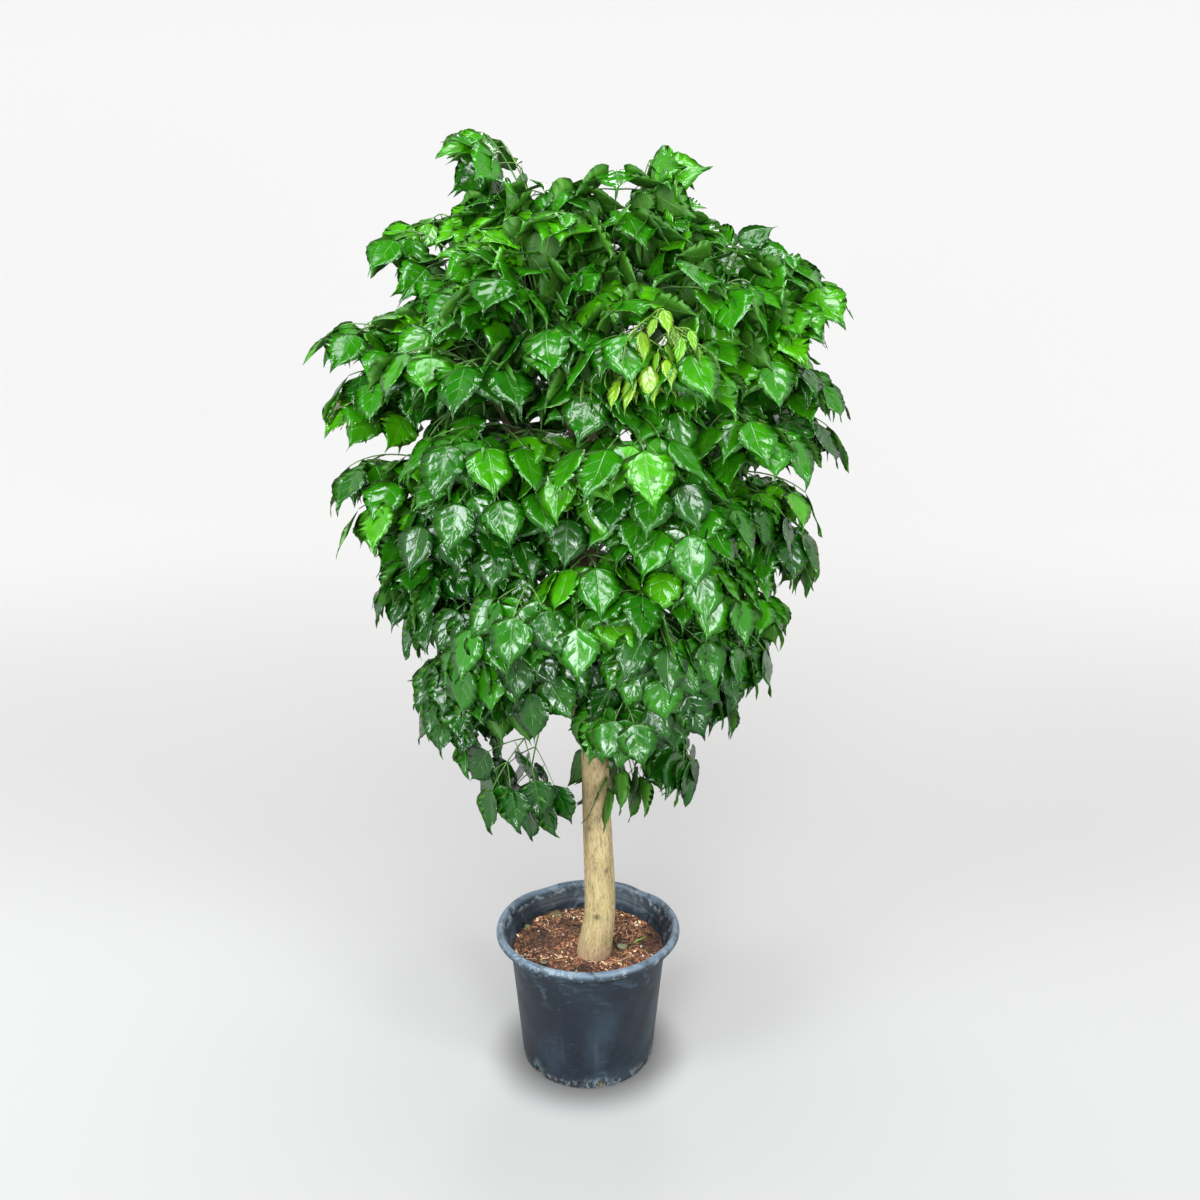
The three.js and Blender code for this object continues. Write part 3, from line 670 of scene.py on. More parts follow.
LIMB_SIDES, LIMB_STEPS = 20, 56
TAN_BARK = (0.242, 0.174, 0.077)
PALE_BARK = (0.350, 0.262, 0.129)
GREEN_FILM = (0.205, 0.182, 0.056)
FOOT_BARK = (0.300, 0.185, 0.104)
UPPER_BARK = (0.080, 0.050, 0.022)
DARK_GRAIN = (0.110, 0.078, 0.032)
FISSURE = (0.070, 0.049, 0.022)
PALE_FLECK = (0.37, 0.31, 0.20)
SCAR_TISSUE = (0.032, 0.020, 0.010)
SCARS = [  # (height in metres, bearing, half height, half width in degrees, depth in metres)
    (0.304, -101, 0.006, 12, -0.0016), (0.392, -60, 0.004, 9, 0.0012), (0.471, -122, 0.004, 9, 0.0014),
    (0.525, -84, 0.003, 8, 0.0010), (0.350, 40, 0.005, 11, 0.0014), (0.450, 150, 0.005, 10, -0.0012),
]


def limb_point(limb, t):
    """A point on a limb's middle line, in mm."""
    heading, reach, top, _ = limb
    out = reach * (1 - (1 - t) ** 3)
    fork_x, fork_y, _ = TRUNK_ROUTE[-1]
    return np.array([
        fork_x + out * math.cos(math.radians(heading)),
        fork_y + out * math.sin(math.radians(heading)),
        FORK_HEIGHT - LIMB_SUNK + (top - FORK_HEIGHT + LIMB_SUNK) * t,
    ])


def bark_material():
    material, tree, shader, place = surface("bark", (0.55, 0.45, 0.28))
    height = part_of(tree, place, "Z")
    patch = between(tree, noise_of(tree, stretched(tree, place, (1, 1, 0.45)), 34.0, 4.0), 0.38, 0.66)
    colour = blended(tree, patch, TAN_BARK, PALE_BARK)
    # greener in the middle of the trunk, pinkish brown at the foot, browner up in the crown
    green = times(tree, between(tree, height, 0.235, 0.30), between(tree, height, 0.62, 0.36))
    moss = between(tree, noise_of(tree, place, 22.0, 5.0, 0.6), 0.36, 0.66)
    green = times(tree, times(tree, green, moss), 0.62)
    colour = blended(tree, green, colour, GREEN_FILM)
    foot = times(tree, between(tree, height, 0.262, 0.226), 0.75)
    colour = blended(tree, foot, colour, FOOT_BARK)
    upper = times(tree, between(tree, height, 0.62, 0.74), 0.9)
    colour = blended(tree, upper, colour, UPPER_BARK)
    grain = noise_of(tree, stretched(tree, place, (150, 150, 13)), 1.0, 4.0, 0.6, 0.4)
    streak = times(tree, between(tree, grain, 0.52, 0.38), 0.30)
    colour = blended(tree, streak, colour, DARK_GRAIN)
    # upright cracks, fine and broken, with pale flecks between them
    cracks = noise_of(tree, stretched(tree, place, (430, 430, 66)), 1.0, 6.0, 0.70, 0.6)
    dark = between(tree, cracks, 0.53, 0.36)
    colour = blended(tree, times(tree, dark, 0.74), colour, FISSURE)
    flecks = noise_of(tree, stretched(tree, place, (520, 520, 190)), 1.0, 4.0, 0.6)
    pale = times(tree, between(tree, flecks, 0.56, 0.68), 0.6)
    colour = blended(tree, pale, colour, PALE_FLECK)
    colour = blended(tree, times(tree, marked(tree, "scar"), 0.85), colour, SCAR_TISSUE)
    relief = bumped(tree, flecks, 0.3, 0.0005, bumped(tree, cracks, 0.75, 0.0016))
    feed(tree, shader, {"Base Color": colour, "Roughness": 0.82, "Normal": relief})
    return material


def bark_rod(line, radii, sides, seed):
    """A limb's skin round a middle line in metres: points, faces and how much scar each point has."""
    points, scars = [], []
    side_way = Vector((1, 0, 0))
    last = len(line) - 1
    for i, at in enumerate(line):
        ahead = Vector(line[min(i + 1, last)] - line[max(i - 1, 0)]).normalized()
        across = (side_way - ahead * side_way.dot(ahead)).normalized()
        third = ahead.cross(across)
        for k in range(sides):
            x, y = on_circle(k, sides)
            out = across * x + third * y
            spot = Vector(at) + out * radii[i]
            low = mathutils.noise.noise(Vector((spot.x * 30, spot.y * 30, spot.z * 11 + seed)))
            ridge = mathutils.noise.noise(Vector((spot.x * 190, spot.y * 190, spot.z * 28 + seed)))
            relief = radii[i] * 0.035 * low + 0.00055 * ridge
            mark = 0.0
            bearing = math.degrees(math.atan2(out.y, out.x))
            for height, facing, tall, wide, depth in SCARS:
                apart = ((spot.z - height) / tall) ** 2 + (angle_apart(bearing, facing) / wide) ** 2
                if apart < 6:
                    share = math.exp(-apart)
                    relief += depth * (share - 0.55 * math.exp(-((math.sqrt(apart) - 1.3) ** 2) * 6))
                    mark = max(mark, share)
            points.append(spot + out * relief)
            scars.append(mark)
    return points, ring_faces(len(line), sides) + end_faces(len(line), sides), scars


wood = Gathered()
trunk_line = through([np.array(p) / 1000 for p in TRUNK_ROUTE], TRUNK_STEPS)
trunk_radii = np.interp(np.linspace(0, 4, len(trunk_line)), range(5), TRUNK_RADII) / 1000
# the last seven rings round the trunk's top off, inside the fork
trunk_radii[-7:] *= np.sqrt(1 - (np.arange(7) / 7.6) ** 2)
wood.add(*bark_rod(trunk_line, trunk_radii, TRUNK_SIDES, 0.0))
for number, limb in enumerate(LIMBS):
    steps = np.linspace(0, 1, LIMB_STEPS)
    limb_line = [limb_point(limb, t) / 1000 for t in steps]
    limb_radii = limb[3] + (LIMB_TIP_RADIUS - limb[3]) * steps + LIMB_FLARE * np.exp(-steps * 26)
    wood.add(*bark_rod(limb_line, limb_radii / 1000, LIMB_SIDES, 3.0 + number))
trunk = mesh_piece("bark_and_limbs", wood.points, wood.faces, [bark_material()])
mark_points(trunk, "scar", wood.shades)
smooth_all(trunk)
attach(trunk, "root")
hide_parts("trunk_and_limbs")

# ------------------------------------------------------------------ the leafy stems
# Forty-nine green stems grow out of the limbs, each with two compound leaves (fronds). A frond has a thin
# green rachis with two pairs of side stalks (pinnae), and glossy quilted leaflets that are folded along the
# midrib, scalloped at the edge and drawn out to a drip tip. All of it grew in one piece.
UP = np.array([0.0, 0.0, 1.0])
EDGE_TIPS = [  # where the outermost fronds reach at the two edges of the crown, (x, z) in mm
    (-110, 470), (-235, 590), (-300, 665), (-390, 870), (-430, 1095), (-425, 1215), (-425, 1325),
    (-345, 1475), (-175, 1625),
    (95, 465), (185, 565), (270, 650), (325, 765), (405, 915), (400, 1040), (450, 1222), (385, 1395),
    (270, 1455), (105, 1590),
]
RINGS = [  # the rings of fronds over the front and the back: (height, radius, fronds on each side)
    (700, 225, 1), (785, 300, 2), (900, 350, 2), (1030, 385, 2), (1160, 400, 3), (1290, 395, 2),
    (1395, 350, 2), (1500, 235, 1),
]
RING_START, RING_SPREAD = 22, 136  # degrees round from the right, on either side
CROWN_MIDDLE, CROWN_HALF_HEIGHT, CROWN_HALF_WIDTH = 1080, 570, 430
LOW_FROND, HIGH_FROND = 500, 1450  # fronds hang at the bottom of the crown and lie level at its top
LEADER_FROM = 1400  # all fronds above this height are on the last limb, the upright one
BARE_BELOW = 640  # under this height the fronds' arms carry one side leaflet, not two
LOWEST_STEM = 680
FROND_REACH = 235
STEM_STATIONS = [0, 0.4, 0.75, 1]  # where the line that has to hang clear of the others bends
STEM_STEPS, STEM_RADII, STEM_FLARE = 16, (3.7, 2.0), 1.6
RACHIS_STEPS, RACHIS_RADII = 14, (1.7, 0.95)
SECOND_FROND_AT = 0.75
PINNAE = [(0.36, 0.33, 60), (0.66, 0.22, 55)]  # place on the rachis, share of the frond's length, angle
LAST_PAIR_AT = 0.86  # where the two leaflets next to the frond's end leave the rachis
STEM_CLEARANCE, WOOD_CLEARANCE = 9, 16
FREE_FROM_WOOD = 45  # how far from its root a stem may still be in the wood
STEM_TRIES, LIMB_CHECKS = 500, 60
LEAF_LENGTH, LEAF_WIDTH, LEAF_ARCH, LEAF_FOLD = 76, 62, 0.2, 0.1
LEAFLET_SAG = 0.85  # how much of its stalk's rise a leaflet loses


class Draws:
    """Park and Miller's minimal random numbers, started for each stem by its own number."""

    MULTIPLIER, MODULUS = 16807, 2147483647

    def __init__(self, seed):
        self.state = (seed * 7919 + 104729) % self.MODULUS
        # the first draws of neighbouring numbers are much alike, so they are thrown away
        self(0, 1)
        self(0, 1)

    def __call__(self, low, high):
        self.state = (self.state * self.MULTIPLIER) % self.MODULUS
        return low + (high - low) * self.state / self.MODULUS


def unit(v):
    return v / np.linalg.norm(v)


def bezier(a, b, c, t):
    return a * (1 - t) ** 2 + b * (2 * t * (1 - t)) + c * t * t


def bezier_heading(a, b, c, t):
    return unit((b - a) * (1 - t) + (c - b) * t)


def square_to(v, axis):
    """The direction of the part of v that is square to the axis."""
    return unit(v - axis * v.dot(axis))


def crown_tips():
    """Where each stem's first frond reaches, on the crown's surface."""
    tips = [np.array([x, 45.0 if i % 2 else -45.0, z]) for i, (x, z) in enumerate(EDGE_TIPS)]
    for ring, (height, radius, per_side) in enumerate(RINGS):
        for side in (-1, 1):
            for k in range(per_side):
                spread = (k + 0.5) / per_side * RING_SPREAD + RING_START
                # the rings are turned against one another, so that their fronds fill each other's gaps
                spread += (9 if side > 0 else -4) + (14 if ring % 2 else -10)
                turn = math.radians(side * spread)
                tips.append(np.array([radius * math.cos(turn), radius * math.sin(turn), height]))
    return tips


def outward(point):
    """The way out of the crown at a point of its surface."""
    return unit(np.array([
        point[0] / CROWN_HALF_WIDTH ** 2,
        point[1] / CROWN_HALF_WIDTH ** 2,
        (point[2] - CROWN_MIDDLE) / CROWN_HALF_HEIGHT ** 2,
    ]))


def nearest_limb(tip):
    if tip[2] > LEADER_FROM:
        return LIMBS[-1]
    bearing = math.degrees(math.atan2(tip[1], tip[0]))
    return min(LIMBS[:-1], key=lambda limb: abs(angle_apart(limb[0], bearing)))


FULL_ARM = [(2, -1, 0.96), (2, 1, 1.0)]  # joint on the arm, side of it, size
BARE_ARM = [(2, 1, 0.92)]


def grow_frond(root, tip, draw):
    """A compound leaf: its rachis is the curve root, bend, end, and over is the way its face looks."""
    out = outward(tip)
    level = clamp((tip[2] - LOW_FROND) / (HIGH_FROND - LOW_FROND))
    chord = tip - root
    bend = root + chord * draw(0.5, 0.6)
    bend = bend + UP * (np.linalg.norm(chord) * draw(0.16, 0.3))
    return {
        "curve": (root, bend, tip - chord * 0.2 + UP * 0.12 * LEAF_LENGTH),
        "over": UP * (0.3 + 0.9 * level) + out * (1 - 0.6 * level),
        "length": np.linalg.norm(chord),
        "roll": draw(-0.25, 0.25),
        "droop": draw(0.7, 1.1) * (1.25 - 0.6 * level),
        "size": draw(0.9, 1.08),
        "tip": tip,
        "side_leaves": FULL_ARM if tip[2] > BARE_BELOW else BARE_ARM,
    }


def grow_stem(tip, draw):
    """A stem that grows out of a limb, with one frond at its end and one further back."""
    out = outward(tip)
    limb = nearest_limb(tip)
    low = clamp(math.hypot(tip[0], tip[1]) / 360, 0.6)
    end = tip - out * FROND_REACH * (low if tip[2] < CROWN_MIDDLE else 1)
    end = end + np.array([draw(-38, 38), draw(-38, 38), draw(-25, 25)])
    end[2] = max(end[2], LOWEST_STEM)
    share = (end[2] - draw(30, 150) - FORK_HEIGHT) / (limb[2] - FORK_HEIGHT)
    lowest, highest = draw(0.07, 0.2), draw(0.75, 1)
    root = limb_point(limb, clamp(share, lowest, highest))
    bend = (root + end) / 2 + UP * (draw(0.1, 0.25) * np.linalg.norm(end - root))
    across = unit(np.cross(out, UP))
    along = np.cross(across, out)
    turn = math.radians(draw(0, 360))
    aside = draw(105, 140)
    second = tip + across * (aside * math.cos(turn)) + along * (aside * math.sin(turn) * 0.8)
    second = second - out * draw(15, 45)
    side_root = bezier(root, bend, end, SECOND_FROND_AT)
    fronds = [grow_frond(end, tip, draw), grow_frond(side_root, second, draw)]
    return {"limb": limb, "curve": (root, bend, end), "fronds": fronds}


def line_points(curve, stations):
    """Points at most 6 mm apart on the straight lines between the stations of a curve."""
    corners = [bezier(*curve, t) for t in stations]
    points = []
    for start, stop in zip(corners, corners[1:]):
        count = math.ceil(np.linalg.norm(stop - start) / 6)
        points += [start + (stop - start) * (k + 1) / count for k in range(count)]
    return points


def is_near(points, others, distance):
    """Whether one of the points is nearer than the distance to one of the others."""
    inside = np.all((others > points.min(0) - distance) & (others < points.max(0) + distance), axis=1)
    others = others[inside]
    if not len(others):
        return False
    return bool((((points[:, None] - others[None]) ** 2).sum(2) < distance ** 2).any())


def grow_stems():
    """Grows the stems one after another: each takes the first draw that hangs clear of the others."""
    frond_stations = [0, *(place for place, _, _ in PINNAE), 1]
    shares = (np.arange(LIMB_CHECKS) + 1) / LIMB_CHECKS
    limb_lines = [np.array([limb_point(limb, t) for t in shares]) for limb in LIMBS]
    taken = np.full((1, 3), 1e6)  # starts with one place that is far from everything
    grown = []
    for i, tip in enumerate(crown_tips()):
        for draw in range(STEM_TRIES):
            stem = grow_stem(tip, Draws(i + 1 + 100 * draw))
            points = line_points(stem["curve"], STEM_STATIONS)
            for frond in stem["fronds"]:
                points += line_points(frond["curve"], frond_stations)
            points = np.array(points)
            free = points[np.linalg.norm(points - stem["curve"][0], axis=1) > FREE_FROM_WOOD]
            blocked = any(
                is_near(free if limb is stem["limb"] else points, line, WOOD_CLEARANCE)
                for limb, line in zip(LIMBS, limb_lines)
            )
            if not blocked and not is_near(points, taken, STEM_CLEARANCE):
                break
        taken = np.vstack([taken, points])
        grown.append(stem)
    return grown


def frond_frame(frond, t):
    """Place, heading, upper side and right side of a frond at t along its rachis."""
    heading = bezier_heading(*frond["curve"], t)
    upper = square_to(frond["over"], heading)
    right = np.cross(heading, upper)
    upper = upper * math.cos(frond["roll"]) + right * math.sin(frond["roll"])
    return bezier(*frond["curve"], t), heading, upper, np.cross(heading, upper)


def hanging(heading, weight, sag=LEAFLET_SAG):
    """A heading that is pulled down by weight, and more so where it rises: a leaflet never stands up."""
    return unit(heading - UP * (weight + sag * max(heading[2], 0)))


# Between the long fronds, shorter ones fill the crown. Each goes to the barest of some random places.
CROWN_EDGE = [  # (height, radius) of the crown's outline
    (470, 110), (540, 185), (600, 235), (665, 280), (770, 320), (870, 372), (960, 398), (1095, 418),
    (1215, 428), (1325, 412), (1400, 350), (1455, 290), (1530, 170), (1585, 80),
]
SHORT_FRONDS = 136
TOP_FRONDS = 14  # how many of them go to the front of the top
SHORT_REACH, BEST_REACH = (95, 190), 150
COST_OF_LEANING_IN = 70  # in mm, on top of how far a frond is off its best reach
SHORT_HEIGHTS, TOP_HEIGHTS = (720, 1520), (1430, 1545)
TRIES = 60
LEAVES_BELOW = np.array([0, 0, -25])  # a frond's leaflets fill the place a little below its rachis
TO_THE_LIGHT = np.array([0, -0.18, 0])  # how the smaller leaflets have turned
FORK_IN_SIGHT = [(-90, 60), (-340, 0), (690, 885)]  # no short frond hangs before the trunk's fork


def add_short_fronds(stems):
    rng = random.Random(77)
    joints = [
        (stem, bezier(*stem["curve"], t)) for stem in stems for t in (0.3, 0.45, 0.6, 0.75, 0.9)
    ]
    places = np.array([place for _, place in joints])
    cloud = [
        bezier(*frond["curve"], t) + LEAVES_BELOW
        for stem in stems
        for frond in stem["fronds"]
        for t in (0.5, 0.75, 1)
    ]
    for i in range(SHORT_FRONDS):
        best, barest = None, -1
        for _ in range(TRIES):
            height = rng.uniform(*SHORT_HEIGHTS)
            turn = rng.uniform(0, 2 * math.pi)
            if i < TOP_FRONDS:
                height = rng.uniform(*TOP_HEIGHTS)
                turn = rng.uniform(-2.7, -0.45)
            radius = np.interp(height, *zip(*CROWN_EDGE)) * rng.uniform(0.3, 0.94) ** 0.5
            spot = np.array([radius * math.cos(turn), radius * math.sin(turn), height])
            if all(low < value < high for value, (low, high) in zip(spot, FORK_IN_SIGHT)):
                continue
            reach = np.linalg.norm(places - spot, axis=1)
            lean = ((spot - places) @ outward(spot)) / reach
            cost = np.abs(reach - BEST_REACH) + COST_OF_LEANING_IN * (1 - lean)
            pick = int(cost.argmin())
            if not SHORT_REACH[0] < reach[pick] < SHORT_REACH[1]:
                continue
            bare = np.linalg.norm(np.array(cloud) - spot, axis=1).min()
            if bare > barest:
                best, barest = (pick, spot), bare
        pick, spot = best
        stem, root = joints[pick]
        frond = grow_frond(root, spot, rng.uniform)
        # higher up they are smaller and stiffer, and face the light more
        frond["size"] *= np.interp(spot[2], [1200, 1500], [0.98, 0.78])
        frond["droop"] *= np.interp(spot[2], [900, 1300], [1.0, 0.55])
        frond["sag"] = 0.3
        frond["over"] = frond["over"] + TO_THE_LIGHT * np.interp(spot[2], [1200, 1400], [0, 3])
        frond["side_leaves"] = BARE_ARM
        stem["fronds"].append(frond)
        cloud += [bezier(*frond["curve"], t) + LEAVES_BELOW for t in (0.6, 1)]


YOUNG_TIPS = [(82, -385, 1318), (118, -398, 1362), (162, -378, 1330), (124, -395, 1285), (92, -390, 1275)]
YOUNG_SIZE, YOUNG_DROOP = 0.6, 1.5
YELLOWING, YELLOWING_REACH = (-425, -30, 1215), 90  # the fronds near this place turn yellow


def add_young_fronds(stems):
    """A tuft of new fronds, still small, narrow and limp."""
    rng = random.Random(5)
    joints = [(stem, bezier(*stem["curve"], t)) for stem in stems for t in (0.6, 0.75, 0.9)]
    for tip in YOUNG_TIPS:
        tip = np.array(tip, float)
        stem, root = min(joints, key=lambda joint: np.linalg.norm(joint[1] - tip))
        frond = grow_frond(root, tip, rng.uniform)
        frond["size"] = YOUNG_SIZE
        frond["droop"] = YOUNG_DROOP
        frond["side_leaves"] = FULL_ARM
        frond["young"] = True
        stem["fronds"].append(frond)


# A leaflet's blade is a grid of rows, which run out along its side veins, and of columns. The even rows lie
# in the veins, and the odd ones on the swellings between them. The under side has the even rows alone.
BLADE_ROWS = 16
BLADE_COLUMNS = np.array([-1, -0.52, 0, 0.52, 1])
BLADE_OUTLINE = [  # (place along the leaflet, share of its half width)
    (0, 0.03), (0.03, 0.46), (0.08, 0.74), (0.15, 0.90), (0.24, 0.985), (0.33, 1.0), (0.42, 0.955),
    (0.51, 0.85), (0.59, 0.70), (0.66, 0.52), (0.72, 0.34), (0.77, 0.19), (0.82, 0.095), (0.88, 0.055),
    (1, 0.012),
]
VEIN_SWEEP = 0.14
TOOTH = 0.022
BLADE_THICKNESS = 0.35  # mm
BLADE_LENGTH, BLADE_WIDTH = 1.14 * LEAF_LENGTH, 1.04 * LEAF_WIDTH


def blade_grid():
    """The place along and across of every point of the blade's grid, as shares, and its row's number."""
    rows = np.arange(BLADE_ROWS + 1)[:, None] / BLADE_ROWS
    columns = BLADE_COLUMNS[None, :]
    taper = np.clip(np.sin(np.pi * rows) * 1.5, 0, 1)
    odd = np.arange(BLADE_ROWS + 1)[:, None] % 2
    along = rows + VEIN_SWEEP * taper * np.abs(columns) ** 1.3 - 0.03 * taper
    margin = along[:, -1:]
    half = np.interp(margin, *zip(*BLADE_OUTLINE))
    half = half * (1 + TOOTH * (odd * 2 - 1) * taper)
    along = along + 0.010 * odd * taper * np.abs(columns) ** 4
    along[0], along[-1] = 0, 1
    whole = 0 * along
    return along, columns * half, rows + whole, columns + whole, odd + whole, taper + whole


def blade_faces():
    """Faces of the closed blade: the top grid, then the under grid, which shares the top's rim."""
    wide = len(BLADE_COLUMNS)
    top = np.arange((BLADE_ROWS + 1) * wide).reshape(BLADE_ROWS + 1, wide)
    under = top.copy()
    inner = np.arange((BLADE_ROWS // 2 - 1) * (wide - 2)).reshape(-1, wide - 2)
    under[2:-2:2, 1:-1] = top.size + inner
    faces = [
        (top[r, c], top[r, c + 1], top[r + 1, c + 1], top[r + 1, c])
        for r in range(BLADE_ROWS)
        for c in range(wide - 1)
    ]
    top_faces = len(faces)
    for r in range(0, BLADE_ROWS, 2):
        for c in range(wide - 1):
            face = [under[r + 2, c], under[r + 2, c + 1], under[r, c + 1], under[r, c]]
            if c == 0:
                face.append(under[r + 1, 0])
            if c == wide - 2:
                face.insert(2, under[r + 1, c + 1])
            faces.append(tuple(face))
    return [tuple(int(v) for v in face) for face in faces], top_faces


GRID_ALONG, GRID_ACROSS, GRID_ROW, GRID_COLUMN, GRID_ODD, GRID_TAPER = blade_grid()
BLADE_FACES, BLADE_TOP_FACES = blade_faces()


def blade_points(leaf, rng):
    """All points of one leaflet's blade, in mm."""
    length = BLADE_LENGTH * leaf["size"]
    width = BLADE_WIDTH * leaf["size"] * leaf.get("narrow", 1)
    axis = leaf["axis"]
    upper = square_to(leaf["upper"], axis)
    across = np.cross(axis, upper)
    side = np.abs(GRID_COLUMN)
    along = GRID_ALONG * (1 - 0.12 * GRID_ALONG)
    trough = np.interp(GRID_ALONG, [0, 0.44, 1], [0, 1, 0]) * (1 - side ** 1.25)
    lift = -LEAF_ARCH * leaf.get("arch", 1) * GRID_ALONG ** 2 * length - LEAF_FOLD * width * trough
    quilting = rng.uniform(0.3, 0.6) * leaf["size"]
    lift = lift + quilting * (GRID_ODD * 2 - 1) * GRID_TAPER * (0.25 + side) * (1.25 - side)
    curl = np.where(GRID_COLUMN > 0, rng.uniform(-0.10, 0.09), rng.uniform(-0.10, 0.09))
    lift = lift + curl * width * side ** 2 * GRID_TAPER
    wave = np.sin(GRID_ALONG * rng.uniform(7, 11) + rng.uniform(0, 6.3) + 2.0 * GRID_COLUMN)
    lift = lift + wave * rng.uniform(0.012, 0.040) * width * side ** 2 * GRID_TAPER
    tip = np.clip((GRID_ALONG - 0.78) / 0.22, 0, 1)
    lift = lift - rng.uniform(-0.01, 0.07) * length * tip ** 2
    aside = GRID_ACROSS * width / 2 + rng.uniform(-0.07, 0.07) * length * GRID_ALONG ** 2
    top = (
        leaf["base"]
        + along[..., None] * length * axis
        + lift[..., None] * upper
        + aside[..., None] * across
    )
    under = top[2:-2:2, 1:-1] - BLADE_THICKNESS * upper
    return np.vstack([top.reshape(-1, 3), under.reshape(-1, 3)])


GRID_UV = np.stack([GRID_ROW, (GRID_COLUMN + 1) / 2, 0 * GRID_ROW], axis=-1)
BLADE_UV = np.vstack([GRID_UV.reshape(-1, 3), GRID_UV[2:-2:2, 1:-1].reshape(-1, 3)])


def leaf_stalk(points, radii, sides):
    """A round tapering stalk along points: its points and its faces."""
    points = np.array(points)
    across = None
    skin = []
    for i, at in enumerate(points):
        ahead = unit(points[min(i + 1, len(points) - 1)] - points[max(i - 1, 0)])
        hint = across if across is not None else (UP if abs(ahead[2]) < 0.9 else np.array([1.0, 0, 0]))
        across = square_to(hint, ahead)
        third = np.cross(ahead, across)
        for k in range(sides):
            x, y = on_circle(k, sides)
            skin.append(at + radii[i] * (across * x + third * y))
    return np.array(skin), ring_faces(len(points), sides) + end_faces(len(points), sides)


def arched(start, stop, rise, steps):
    """Points from start to stop, bowed upwards by rise."""
    return [start + (stop - start) * t + UP * rise * 4 * t * (1 - t) for t in np.linspace(0, 1, steps)]


class StemMesh:
    """Gathers the stalks and the leaflets of one stem."""

    def __init__(self):
        self.points, self.faces, self.finish, self.blade_place, self.kind = [], [], [], [], []
        self.count = 0

    def add(self, points, faces, finish, blade_place, kind):
        self.points.append(points)
        self.faces += [tuple(self.count + v for v in face) for face in faces]
        self.finish += finish
        self.blade_place.append(blade_place)
        self.kind.append(np.tile(kind, (len(points), 1)))
        self.count += len(points)

    def stalk(self, points, radii, sides, youth, woody=(0, 0)):
        skin, faces = leaf_stalk(points, radii, sides)
        amount = np.repeat(np.linspace(woody[0], woody[1], len(points)), sides)
        place = np.stack([amount, 0 * amount, 0 * amount], axis=-1)
        self.add(skin, faces, [2] * len(faces), place, (0.5, youth, 0))

    def blade(self, leaf, rng):
        finish = [0] * BLADE_TOP_FACES + [1] * (len(BLADE_FACES) - BLADE_TOP_FACES)
        kind = (leaf["tone"], leaf["youth"], leaf["decay"])
        self.add(blade_points(leaf, rng), BLADE_FACES, finish, BLADE_UV, kind)

    def piece(self, name, materials):
        made = mesh_piece(name, np.vstack(self.points) / 1000, self.faces, materials)
        made.data.polygons.foreach_set("material_index", self.finish)
        for label, values in (("blade_place", self.blade_place), ("leaf_kind", self.kind)):
            marks = made.data.attributes.new(label, "FLOAT_VECTOR", "POINT")
            marks.data.foreach_set("vector", np.vstack(values).astype(np.float32).ravel())
        smooth_all(made)
        return made


BROWNED_SHARE = 0.008  # of all leaflets, besides the yellowing ones


def leaf_looks(leaf, looks, rng):
    """Gives a leaflet its tone, and its share of young yellow growth and of browning."""
    leaf["tone"] = clamp(looks["tone"] + rng.gauss(0, 0.13))
    leaf["youth"] = clamp(looks["youth"] + rng.gauss(0, 0.1)) if looks["youth"] else 0
    leaf["decay"] = looks["decay"] * rng.uniform(0.3, 1) if looks["decay"] else 0
    if looks["youth"]:
        leaf["narrow"] = rng.uniform(0.45, 0.65)
        leaf["size"] *= rng.uniform(0.7, 1.2)
    if rng.random() < BROWNED_SHARE:
        leaf["decay"] = rng.uniform(0.2, 0.4)
    return leaf


def jitter(rng, most):
    return np.array([rng.uniform(-most, most) for _ in range(3)])


